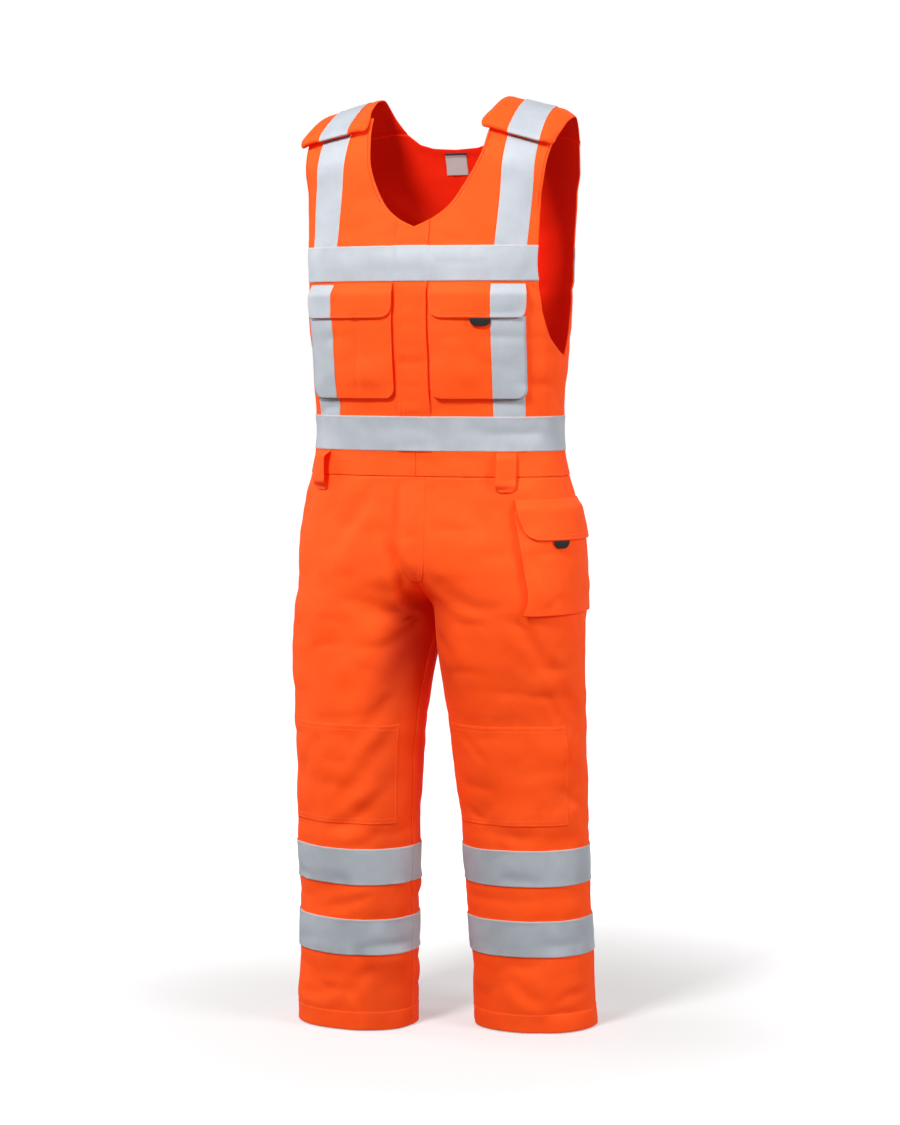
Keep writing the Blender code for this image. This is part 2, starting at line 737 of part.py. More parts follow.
def build_cargo_pocket():
    def spot(r, c, inset):
        row = CARGO_BAG[r]
        if r < 2:
            row = row._replace(height=row.height + inset)
        return cargo_columns(row, inset)[c]

    size = (len(CARGO_BAG), len(cargo_columns(CARGO_BAG[0], 0.0)))
    tray("cargo_pocket", size, spot, POCKET_LIFT, POCKET_CLOTH, rim_lift=2 * GAP)
    grid = [cargo_columns(row, 0.0) for row in CARGO_FLAP]
    low = [POCKET_LIFT + 3 * GAP] * (len(CARGO_FLAP) - 1) + [3 * GAP]
    wall("cargo_flap", grid, low, [at + CLOTH for at in low])
    centre = CARGO_TAB_SHARE * CHARTS[LEFT, FRONT].length(CARGO_FLAP_BOTTOM)
    build_tab(Tab("cargo_tab", centre, CARGO_FLAP_BOTTOM, 13.0))


def build_knee_patch(side):
    rows = trimmed(within(LEG_ROWS, *KNEE_PATCH), 0, 0)
    grid = [leg_columns(side, FRONT, height)[1:-2] for height in rows]
    spots = [[Spot(side, FRONT, at, height) for at in line] for line, height in zip(grid, rows)]
    wall(f"knee_patch_{side_name(side)}", spots, GAP, GAP + CLOTH)


def build_belt_loop(loop):
    grid, low = [], []
    for height, stand in LOOP_ROWS:
        half = LOOP_WIDTH / 2 * (LOOP_END_SHARE if height == LOOP_ROWS[0][0] else 1.0)
        grid.append([Spot(loop.side, loop.face, loop.centre + half * k, height) for k in (-1, 0, 1)])
        low.append(GAP + stand * (LOOP_LIFT - LOOP_CLOTH - GAP))
    wall(loop.name, grid, low, [at + LOOP_CLOTH for at in low])


def build_level_tapes():
    """The tapes round the chest and the waist. In front they cross the placket as stretches of their own."""
    for word, bottom in (("chest", CHEST_TAPE), ("waist", WAIST_TAPE)):
        levels = sorted({*within(BIB_ROWS, bottom, bottom + TAPE_WIDTH), bottom})
        rows = trimmed(levels)
        for side in (LEFT, RIGHT):
            grid = []
            for height in rows:
                columns = bib_columns(side, height)[1:]
                columns[0] += GAP / 2
                grid.append([Spot(side, FRONT, at, height) for at in columns])
            tape(f"{word}_tape_front_{side_name(side)}", grid)
        middle = both_sides(FRONT, rows, lambda side, height: [0.0, PLACKET_HALF - GAP / 2])
        tape(f"{word}_tape_middle", middle)
        tape(f"{word}_tape_back", both_sides(BACK, rows, back_columns))


def build_upright_tapes(side):
    """The tapes down the bib that lie on it directly, in front and at the back."""
    name = side_name(side)
    stretches = (
        ("bib_tape_upper", FRONT, [*within(BIB_ROWS, CHEST_TAPE_TOP, UNDER_STRAP), UNDER_STRAP]),
        ("bib_tape_lower", FRONT, [WAIST_TAPE_TOP, POCKET_BOTTOM - 1]),
        ("back_tape_upper", BACK, within(BACK_ROWS, CHEST_TAPE_TOP, BACK_TOP)),
        ("back_tape_lower", BACK, within(BACK_ROWS, WAIST_TAPE_TOP, CHEST_TAPE)),
    )
    across = (TAPE_INNER, TAPE_MIDDLE, TAPE_OUTER)
    for word, face, rows in stretches:
        levels = trimmed(rows, GAP, GAP)
        tape(f"{word}_{name}", [[Spot(side, face, at, height) for at in across] for height in levels])


def build_leg_tape(side, number, bottom):
    """One tape round a leg, joined at the inner seam."""
    grid = []
    for height in (bottom, bottom + LEG_TAPE_WIDTH):
        front = leg_columns(side, FRONT, height)
        back = leg_columns(side, BACK, height)
        line = [Spot(side, FRONT, at, height) for at in front[:-1]]
        line.append(Spot(side, FRONT, CHARTS[side, FRONT].length(height), height))
        grid.append(line + [Spot(side, BACK, at, height) for at in reversed(back[:-1])])
    tape(f"leg_tape_{number}_{side_name(side)}", grid)


LABEL_ROWS = (1240.0, 1262.0, 1273.0)
LABEL_HALF_WIDTH = 18.0
LABEL_CLOTH = 0.8


def build_neck_label():
    """A bare label on the inside of the back neck."""
    outer = -CLOTH - 2 * GAP
    grid = both_sides(BACK, LABEL_ROWS, lambda side, height: [0.0, LABEL_HALF_WIDTH])
    wall("neck_label", grid, outer - LABEL_CLOTH, outer, color=GREY)


def main():
    for old in list(bpy.data.objects):
        bpy.data.objects.remove(old)
    for side in (LEFT, RIGHT):
        build_front_bib(side)
        build_strap(side)
        build_chest_pocket(side)
        build_chest_flap(side)
        build_upright_tapes(side)
        build_knee_patch(side)
        for face in (FRONT, BACK):
            build_trouser_panel(side, face)
        for number, bottom in enumerate(LEG_TAPES, start=1):
            build_leg_tape(side, number, bottom)
    build_placket()
    build_back_bib()
    build_waistband()
    build_fly()
    build_cargo_pocket()
    build_level_tapes()
    build_neck_label()
    build_tab(CHEST_TAB)
    for loop in LOOPS:
        build_belt_loop(loop)


main()
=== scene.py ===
"""High-visibility bib overalls, dressed: every cut piece as sewn cloth with its folds, stitches and finish.

The overalls are made of fluorescent orange work twill with silver reflective tape. They are filled out as if
worn, with no wearer. Lengths in the classes below are millimetres, and heights are measured from a level
8 mm above the hem. Every piece takes its points from one body form, unrolled: a place is a side, the distance
along the cloth from the middle front (or, on a leg, from the inner seam) round to the back, and a height.
"""

import logging
import math
from collections.abc import Callable, Sequence
from dataclasses import dataclass, field
from enum import Enum
from functools import partial

import bpy
import numpy as np
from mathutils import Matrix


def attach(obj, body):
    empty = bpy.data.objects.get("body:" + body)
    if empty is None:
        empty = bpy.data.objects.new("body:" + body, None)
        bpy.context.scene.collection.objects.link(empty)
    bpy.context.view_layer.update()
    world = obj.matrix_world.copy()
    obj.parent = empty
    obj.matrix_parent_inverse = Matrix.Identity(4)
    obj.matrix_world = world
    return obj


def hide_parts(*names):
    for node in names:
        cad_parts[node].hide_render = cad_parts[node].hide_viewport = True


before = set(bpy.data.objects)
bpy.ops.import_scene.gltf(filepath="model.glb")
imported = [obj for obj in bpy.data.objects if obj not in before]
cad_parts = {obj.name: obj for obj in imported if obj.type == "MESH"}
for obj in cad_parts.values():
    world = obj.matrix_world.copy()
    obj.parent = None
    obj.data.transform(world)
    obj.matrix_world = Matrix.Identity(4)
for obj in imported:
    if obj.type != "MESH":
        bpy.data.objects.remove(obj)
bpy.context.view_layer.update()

LOG = logging.getLogger("overalls")

Array = np.ndarray
Edge = Callable[[Array, Array], Array]

# Cloth and seams
CLOTH = 1.5
TAPE = 1.0
GAP = 0.3
SEAM_FELL = 8.0

# Heights
HEM = -8.0
HEM_FOLD = 19.0
WAIST_SEAM = 805.0
BIB_SEAM = 866.0
WAIST_TAPE = 841.0
CHEST_TAPE = 1081.0
NECK_POINT = 1158.0
FRONT_TOP = 1318.0
BACK_TOP = 1300.0
ARMHOLE_BOTTOM = 976.0
SADDLE_START = 1235.0
SADDLE_RISE = 150.0
LEG_TAPES = (105.0, 210.0)
KNEE_PATCH = (300.0, 447.0)

# Widths
TAPE_WIDTH = 50.0
LEG_TAPE_WIDTH = 54.0
TAPE_INNER = 118.0
TAPE_OUTER = TAPE_INNER + TAPE_WIDTH
TAPE_NARROW = 2.0
# height, how far out the left and the right front tapes lie from there
TAPE_DRIFT = ((890.0, -6.0, 2.0), (1060.0, -5.0, 2.0), (1200.0, 3.0, -5.0), (1310.0, 6.0, -8.0))
PLACKET_HALF = 24.0
POCKET_INNER = 30.0

# The shoulder saddle, and the height of the origin
CREST_Y = 30.0
CREST_HEIGHT = 1348.0
CREST_INNER = 95.0
CREST_FALL = 0.26
CREST_DROOP = 9.0
SADDLE_PULL = 1.25
SHOULDER = 1338.0

LEFT, RIGHT = 1, -1
FRONT, BACK = -1, 1


class Hold(Enum):
    """How a sheet of cloth is held in the garment."""

    SEWN = "stretched"
    HUNG = "hung"
    GATHERED = "gathered"


class Slot(Enum):
    """A slot of the record's materials."""

    TWILL = "twill"
    TAPE = "reflective_tape"
    TAB = "tab"
    LABEL = "label"


@dataclass(frozen=True)
class Section:
    """One level outline of the left half: a rounded box, cut off at the middle where it crosses it."""

    height: float
    centre_x: float
    centre_y: float
    half_width: float
    front: float
    back: float
    front_power: float
    back_power: float
    turn: float


SECTIONS = (
    #       height  centre x,y   half   front  back   powers     turn
    Section(-8.0, 127.5, 30.0, 92.0, 78.0, 78.0, 2.1, 2.1, 10.0),
    Section(60.0, 125.5, 26.0, 90.5, 77.5, 78.0, 2.1, 2.1, 10.0),
    Section(200.0, 121.0, 15.0, 91.0, 77.0, 80.0, 2.1, 2.1, 12.0),
    Section(337.0, 117.0, 4.0, 95.0, 80.0, 82.0, 2.1, 2.1, 13.0),
    Section(440.0, 113.5, -4.0, 100.0, 84.0, 86.0, 2.1, 2.1, 15.0),
    Section(526.0, 110.5, -8.0, 106.0, 92.0, 96.0, 2.15, 2.15, 12.0),
    Section(575.0, 109.0, -6.0, 108.0, 99.0, 108.0, 2.2, 2.2, 6.0),
    Section(608.0, 107.6, -3.0, 107.5, 104.0, 119.0, 2.25, 2.3, 0.0),
    Section(618.0, 105.5, -2.0, 108.5, 105.5, 122.0, 2.25, 2.35, 0.0),
    Section(630.0, 100.0, -1.0, 113.0, 107.0, 125.0, 2.3, 2.4, 0.0),
    Section(645.0, 88.0, 0.0, 124.5, 109.0, 128.0, 2.3, 2.5, 0.0),
    Section(670.0, 62.0, 0.0, 149.5, 112.0, 131.0, 2.3, 2.5, 0.0),
    Section(700.0, 34.0, 0.0, 176.5, 113.0, 131.0, 2.3, 2.5, 0.0),
    Section(735.0, 12.0, 0.0, 195.5, 110.5, 126.0, 2.3, 2.45, 0.0),
    Section(770.0, 2.0, 0.0, 200.0, 106.0, 116.0, 2.35, 2.4, 0.0),
    Section(806.0, 0.0, 0.0, 193.0, 101.5, 103.0, 2.4, 2.4, 0.0),
    Section(841.0, 0.0, 0.0, 186.5, 100.0, 95.0, 2.4, 2.4, 0.0),
    Section(866.0, 0.0, 0.0, 184.5, 101.0, 93.0, 2.4, 2.4, 0.0),
    Section(900.0, 0.0, 0.0, 184.5, 104.5, 96.0, 2.45, 2.45, 0.0),
    Section(975.0, 0.0, 0.0, 188.0, 113.0, 107.0, 2.6, 2.6, 0.0),
    Section(1040.0, 0.0, 0.0, 191.0, 117.5, 113.0, 2.8, 2.8, 0.0),
    Section(1100.0, 0.0, 0.0, 193.5, 117.5, 114.0, 2.9, 2.9, 0.0),
    Section(1150.0, 0.0, 0.0, 196.0, 108.5, 107.0, 3.0, 3.0, 0.0),
    Section(1195.0, 0.0, 0.0, 199.0, 100.0, 95.0, 3.1, 3.1, 0.0),
    Section(1235.0, 0.0, 0.0, 205.0, 95.0, 82.0, 3.2, 3.2, 0.0),
)


@dataclass(frozen=True)
class Stride:
    """How far the right leg stands in front of the left at a height."""

    height: float
    ahead: float


STRIDES = (
    Stride(-8.0, 70.0),
    Stride(300.0, 60.0),
    Stride(450.0, 42.0),
    Stride(560.0, 14.0),
    Stride(640.0, 0.0),
)


@dataclass(frozen=True)
class EdgePoint:
    """A point of a cut edge: its height, and its distance from the middle on the left and on the right."""

    height: float
    left: float
    right: float


NECKLINE = (
    EdgePoint(NECK_POINT, 0.0, 0.0),
    EdgePoint(1169.0, 25.0, 23.0),
    EdgePoint(1187.0, 49.0, 44.0),
    EdgePoint(1210.0, 66.0, 58.0),
    EdgePoint(1245.0, 86.0, 71.0),
    EdgePoint(1270.0, 94.0, 76.0),
    EdgePoint(1296.0, 96.0, 82.0),
    EdgePoint(FRONT_TOP, 98.0, 86.0),
)
BACK_NECKLINE = (
    EdgePoint(1277.0, 0.0, 0.0),
    EdgePoint(1279.0, 34.0, 34.0),
    EdgePoint(1285.0, 54.0, 54.0),
    EdgePoint(BACK_TOP, 72.0, 72.0),
)
FRONT_ARMHOLE = (
    EdgePoint(ARMHOLE_BOTTOM, 250.4, 250.4),
    EdgePoint(984.0, 228.0, 228.0),
    EdgePoint(1012.0, 202.0, 202.0),
    EdgePoint(1054.0, 190.0, 190.0),
    EdgePoint(1106.0, 183.0, 183.0),
    EdgePoint(1194.0, 182.0, 182.0),
    EdgePoint(1245.0, 187.0, 187.0),
    EdgePoint(FRONT_TOP, 198.0, 198.0),
)
BACK_ARMHOLE = (
    EdgePoint(ARMHOLE_BOTTOM, 246.0, 246.0),
    EdgePoint(1012.0, 236.0, 236.0),
    EdgePoint(1060.0, 228.0, 228.0),
    EdgePoint(1130.0, 224.0, 224.0),
    EdgePoint(1200.0, 222.0, 222.0),
    EdgePoint(BACK_TOP, 215.0, 215.0),
)


def tape_edges(side: int, height: Array) -> tuple[Array, Array]:
    """The front upright tape's two edges: it leans, and the chest's curve takes TAPE_NARROW off each."""
    drift = np.interp(height, *np.array(TAPE_DRIFT)[:, (0, 1 if side == LEFT else 2)].T)
    return TAPE_INNER + TAPE_NARROW + drift, TAPE_OUTER - TAPE_NARROW + drift


def smooth_curve(knots: Sequence[float], levels: Sequence[float], at: Array) -> Array:
    """A curve through a table, with no overshoot between its rows.

    Args:
        knots: The rising positions of the table's rows.
        levels: The value of each row.
        at: The positions to read.

    Returns:
        The value at each position, held level beyond the table's ends.
    """
    places = np.asarray(knots, float)
    values = np.asarray(levels, float)
    span = np.diff(places)
    rise = np.diff(values) / span
    slope = np.zeros(len(values))
    slope[0], slope[-1] = rise[0], rise[-1]
    for i in range(1, len(values) - 1):
        if rise[i - 1] * rise[i] > 0:
            before = 2 * span[i] + span[i - 1]
            after = span[i] + 2 * span[i - 1]
            slope[i] = (before + after) / (before / rise[i - 1] + after / rise[i])
    at = np.clip(at, places[0], places[-1])
    i = np.clip(np.searchsorted(places, at, side="right") - 1, 0, len(span) - 1)
    t = (at - places[i]) / span[i]
    ease = t * t * (3 - 2 * t)
    swing = (1 - t) * slope[i] - t * slope[i + 1]
    return (1 - ease) * values[i] + ease * values[i + 1] + span[i] * t * (1 - t) * swing


def ease_in(value: Array, start: float, stop: float) -> Array:
    """A smooth step of value from 0 at start to 1 at stop, which may lie below start."""
    t = np.clip((value - start) / (stop - start), 0, 1)
    return t * t * (3 - 2 * t)


def bump(value: Array, centre: float, width: float) -> Array:
    """A soft hump of height 1 over centre, which has fallen to about a third one width away."""
    return np.exp(-(((value - centre) / width) ** 2))


def edge_distance(table: Sequence[EdgePoint], side: int, height: Array) -> Array:
    """The distance of a cut edge from the middle on one side, at each height."""
    distances = [row.left if side == LEFT else row.right for row in table]
    return smooth_curve([row.height for row in table], distances, height)


def spaced(start: float, stop: float, step: float, marks: Sequence[float] = (), fine: float = 0.8) -> Array:
    """Positions of grid lines: even ones, with closer ones at both ends and at some marks.

    Args:
        start: The first position.
        stop: The last position.
        step: The even spacing.
        marks: Positions that need closer lines, such as a stitched fold.
        fine: The distance of the closest extra line.

    Returns:
        The positions, rising.
    """
    near = np.array([0.0, fine, 2.7 * fine])
    lines = [*(start + near), *(stop - near)]
    for mark in marks:
        lines += [*(mark - near), *(mark + near)]
    gap = 1.8 * fine
    count = max(2, round((stop - start) / step) + 1)
    for line in np.linspace(start, stop, count):
        if min(abs(line - other) for other in lines) > gap:
            lines.append(line)
    return np.unique(np.round([line for line in lines if start <= line <= stop], 4))


def shares(count: int, width: float, fine: float = 0.8, near: Sequence[float] = ()) -> tuple[Array, Array]:
    """How grid lines lie between two edges whose distance changes from row to row.

    Args:
        count: The number of even steps between the edges.
        width: A usual distance between the edges, which tells even lines from near ones.
        fine: The distance of the first line from each edge.
        near: More fixed distances from each edge.

    Returns:
        A share of the way across, and a fixed distance to add to it, for each line.
    """
    fixed = np.array([0.0, fine, 2.7 * fine, *near])
    middle = np.linspace(0, 1, count + 1)
    clear = fixed[-1] + 1.8 * fine
    middle = middle[(middle * width > clear) & ((1 - middle) * width > clear)]
    share = np.concatenate([np.zeros(len(fixed)), middle, np.ones(len(fixed))])
    offset = np.concatenate([fixed, np.zeros(len(middle)), -fixed[::-1]])
    return share, offset


def from_right(reach: dict[int, Array], lines: tuple[Array, Array]) -> Array:
    """Signed distances of grid lines from the right side's reach to the left side's, in each row."""
    share, offset = lines
    return -reach[RIGHT][:, None] + (reach[LEFT] + reach[RIGHT])[:, None] * share + offset


@dataclass
class Spots:
    """A grid of places on the unrolled form.

    Attributes:
        side: LEFT or RIGHT for each place.
        along: The distance along the cloth from the middle front or the inner leg seam, always positive.
        height: The height of each place.
    """

    side: Array
    along: Array
    height: Array

    @staticmethod
    def signed(along: Array, height: Array) -> "Spots":
        """Places given by a distance from the middle that is negative on the right."""
        along, height = np.broadcast_arrays(along, np.asarray(height, float))
        return Spots(np.where(along < 0, RIGHT, LEFT), np.abs(along), height)

    @staticmethod
    def on(side: int, along: Array | float, height: Array | float) -> "Spots":
        """Places on one side, given by distances and heights whose shapes fit together."""
        along, height = np.broadcast_arrays(np.asarray(along, float), np.asarray(height, float))
        return Spots(np.full(along.shape, side), along, height)

    @staticmethod
    def between(side: int, heights: Array, low: Array, high: Array, lines: tuple[Array, Array]) -> "Spots":
        """Rows of places between two edges.

        Args:
            side: LEFT or RIGHT.
            heights: The height of each row.
            low: The near edge's distance in each row.
            high: The far edge's distance in each row.
            lines: What shares() gave.

        Returns:
            The places, one row for each height.
        """
        share, offset = lines
        low = np.broadcast_to(low, heights.shape)[:, None]
        high = np.broadcast_to(high, heights.shape)[:, None]
        return Spots.on(side, low + (high - low) * share + offset, heights[:, None])


class Noise:
    """Smooth values from -1 to 1 that change over about one unit of distance, the same in every run."""

    SIZE = 32

    def __init__(self, seed: int) -> None:
        """Fills the lattice with values that the seed picks."""
        self.lattice = np.random.default_rng(seed).uniform(-1, 1, (self.SIZE,) * 3)

    def at(self, points: Array) -> Array:
        """The value at each point.

        Args:
            points: Their last axis is x, y, z.

        Returns:
            The values, with the other axes.
        """
        cell = np.floor(points).astype(int)
        t = points - cell
        t = t * t * t * (t * (6 * t - 15) + 10)
        value = np.zeros(points.shape[:-1])
        for corner in range(8):
            bits = [(corner >> axis) & 1 for axis in range(3)]
            weight = np.ones(points.shape[:-1])
            for axis, bit in enumerate(bits):
                weight = weight * (t[..., axis] if bit else 1 - t[..., axis])
            i, j, k = ((cell[..., axis] + bits[axis]) % self.SIZE for axis in range(3))
            value += weight * self.lattice[i, j, k]
        return value


@dataclass
class UnrolledSide:
    """One side of the form as a table of points, from the middle front round to the middle back."""

    heights: Array
    front: Array
    back: Array
    points: Array
    normals: Array


class Form:
    """The body form that every cut piece lies on."""

    STEP = 5.0
    ACROSS = 121
    CENTRE_BLEND = 14.0

    def __init__(self) -> None:
        """Lays out both sides."""
        self.sides = {side: self._unroll(side) for side in (LEFT, RIGHT)}

    def _outline(self, height: float, side: int, face: int) -> tuple[Array, Array, Array]:
        """Half of one level outline, from the middle or the inner leg to the side seam.

        Args:
            height: The level.
            side: LEFT or RIGHT.
            face: FRONT or BACK.

        Returns:
            x, y and the distance reached along the outline, at each of its points.
        """
        heights = [row.height for row in SECTIONS]
        names = ("centre_x", "centre_y", "half_width", "front", "back", "front_power", "back_power", "turn")
        levels = {name: [getattr(section, name) for section in SECTIONS] for name in names}
        row = {name: float(smooth_curve(heights, values, height)) for name, values in levels.items()}
        word = "front" if face == FRONT else "back"
        depth, power = row[word], row[f"{word}_power"]
        angle = np.linspace(math.pi, 0, 361)
        along = row["half_width"] * np.sign(np.cos(angle)) * np.abs(np.cos(angle)) ** (2 / power)
        across = face * depth * np.abs(np.sin(angle)) ** (2 / power)
        turn = math.radians(row["turn"])
        x = row["centre_x"] + along * math.cos(turn) - across * math.sin(turn)
        y = row["centre_y"] + along * math.sin(turn) + across * math.cos(turn)
        y = y + side * 0.5 * smooth_curve([s.height for s in STRIDES], [s.ahead for s in STRIDES], height)
        if x.min() < 0:
            last = np.nonzero(x < 0)[0][-1]
            part = -x[last] / (x[last + 1] - x[last])
            start = y[last] + part * (y[last + 1] - y[last])
            x = np.append(0.0, x[last + 1 :])
            y = np.append(start, y[last + 1 :])
        reach = np.append(0.0, np.cumsum(np.hypot(np.diff(x), np.diff(y))))
        return x, y, reach

    def _face(self, side: int, face: int) -> tuple[Array, Array, Array]:
        """One face of one side.

        Args:
            side: LEFT or RIGHT.
            face: FRONT or BACK.

        Returns:
            The heights, the length of each row, and the points of each row.
        """
        heights = np.append(np.arange(HEM, SADDLE_START, self.STEP), SADDLE_START)
        rows, lengths = [], []
        for height in heights:
            x, y, reach = self._outline(height, side, face)
            at = np.linspace(0, reach[-1], self.ACROSS)
            level = np.full(self.ACROSS, height)
            rows.append(np.stack([side * np.interp(at, reach, x), np.interp(at, reach, y), level], 1))
            lengths.append(reach[-1])
        base = rows[-1]
        slope = (base[:, 1] - rows[-2][:, 1]) / (heights[-1] - heights[-2])
        crest = CREST_HEIGHT - CREST_FALL * np.maximum(np.abs(base[:, 0]) - CREST_INNER, 0)
        crest = crest - CREST_DROOP * ease_in(np.abs(base[:, 0]), 176, 206)
        lift = SADDLE_PULL * (crest - SADDLE_START)
        sweep = SADDLE_PULL * (CREST_Y - base[:, 1])
        for rise in np.arange(self.STEP, SADDLE_RISE + 0.1, self.STEP):
            t = rise / SADDLE_RISE
            ease = t * t * (3 - 2 * t)
            leave = t * (1 - t) ** 2
            arrive = -t * t * (1 - t)
            y = (1 - ease) * base[:, 1] + ease * CREST_Y + leave * lift * slope + arrive * sweep
            z = (1 - ease) * SADDLE_START + ease * crest + leave * lift
            rows.append(np.stack([base[:, 0], y, z], 1))
            lengths.append(lengths[-1])
            heights = np.append(heights, SADDLE_START + rise)
        return heights, np.array(lengths), np.array(rows)

    def _unroll(self, side: int) -> UnrolledSide:
        """Joins the front and the back of one side at the side seam.

        Args:
            side: LEFT or RIGHT.

        Returns:
            The side's table, with one extra row and column all round for smooth reading.
        """
        heights, front, front_points = self._face(side, FRONT)
        _, back, back_points = self._face(side, BACK)
        points = np.concatenate([front_points, back_points[:, -2::-1]], axis=1)
        normals = side * np.cross(np.gradient(points, axis=1), np.gradient(points, axis=0))
        normals /= np.maximum(np.linalg.norm(normals, axis=2, keepdims=True), 1e-9)
        middle = ease_in(np.abs(points[..., 0]), 0, self.CENTRE_BLEND)
        middle = np.where(points[..., 2] > WAIST_SEAM - 165, middle, 1.0)
        normals[..., 0] *= middle
        grown = []
        for table in (points, normals):
            table = np.concatenate([2 * table[:1] - table[1:2], table, 2 * table[-1:] - table[-2:-1]])
            first, last = 2 * table[:, :1] - table[:, 1:2], 2 * table[:, -1:] - table[:, -2:-1]
            grown.append(np.concatenate([first, table, last], axis=1))
        return UnrolledSide(heights, front, back, *grown)

    def front_length(self, side: int, height: Array) -> Array:
        """The distance from the middle front to the side seam, at each height."""
        table = self.sides[side]
        return np.interp(height, table.heights, table.front)

    def whole_length(self, side: int, height: Array) -> Array:
        """The distance from the middle front round to the middle back, at each height."""
        table = self.sides[side]
        return np.interp(height, table.heights, table.front + table.back)

    def across_back(self, heights: Array, reach: dict[int, Array], lines: tuple[Array, Array]) -> Spots:
        """A grid across the back, from its right edge to its left one.

        Args:
            heights: The height of each row.
            reach: Each side's edge, measured from the middle back, in each row.
            lines: What shares() gave.

        Returns:
            The grid.
        """
        signed = from_right(reach, lines)
        level = np.repeat(heights[:, None], signed.shape[1], axis=1)
        side = np.where(signed < 0, RIGHT, LEFT)
        whole = np.where(side == LEFT, self.whole_length(LEFT, level), self.whole_length(RIGHT, level))
        return Spots(side, whole - np.abs(signed), level)

    def place(self, spots: Spots) -> tuple[Array, Array]:
        """The points of a grid of places, and the form's outward normals there.

        Args:
            spots: The places.

        Returns:
            Points and unit normals, with x, y, z as the last axis.
        """
        points = np.zeros(spots.along.shape + (3,))
        normals = np.zeros_like(points)
        for side, table in self.sides.items():
            here = spots.side == side
            if not here.any():
                continue
            along, height = spots.along[here], spots.height[here]
            front = np.interp(height, table.heights, table.front)
            back = np.interp(height, table.heights, table.back)
            steps = self.ACROSS - 1
            column = np.where(along <= front, along / front, 1 + (along - front) / back) * steps
            column = np.clip(column, 0, 2 * steps)
            row = np.interp(height, table.heights, np.arange(len(table.heights)))
            r = np.clip(np.floor(row).astype(int), 0, len(table.heights) - 2)
            c = np.clip(np.floor(column).astype(int), 0, 2 * steps - 1)
            for source, target in ((table.points, points), (table.normals, normals)):
                found = np.zeros((len(along), 3))
                for i, down in enumerate(self._weights(row - r)):
                    line = np.zeros((len(along), 3))
                    for j, over in enumerate(self._weights(column - c)):
                        line += over[:, None] * source[r + i, c + j]
                    found += down[:, None] * line
                target[here] = found
        normals /= np.maximum(np.linalg.norm(normals, axis=-1, keepdims=True), 1e-9)
        return points, normals

    @staticmethod
    def _weights(t: Array) -> tuple[Array, Array, Array, Array]:
        """Weights of four table rows, for a curve through them at the share t between the middle two."""
        return (
            0.5 * (-t + 2 * t**2 - t**3), 0.5 * (2 - 5 * t**2 + 3 * t**3), 0.5 * (t + 4 * t**2 - 3 * t**3),
            0.5 * (-(t**2) + t**3)
        )


@dataclass(frozen=True)
class Crease:
    """A soft fold: a trough along a line, with a raised lip on each side.

    Attributes:
        side: LEFT or RIGHT.
        face: FRONT or BACK, which says where the distances are measured from.
        line: Distances and heights of its points.
        depth: How deep the trough is. A negative depth is a ridge.
        width: Half the trough's width.
    """

    side: int
    face: int
    line: tuple[tuple[float, float], ...]
    depth: float
    width: float


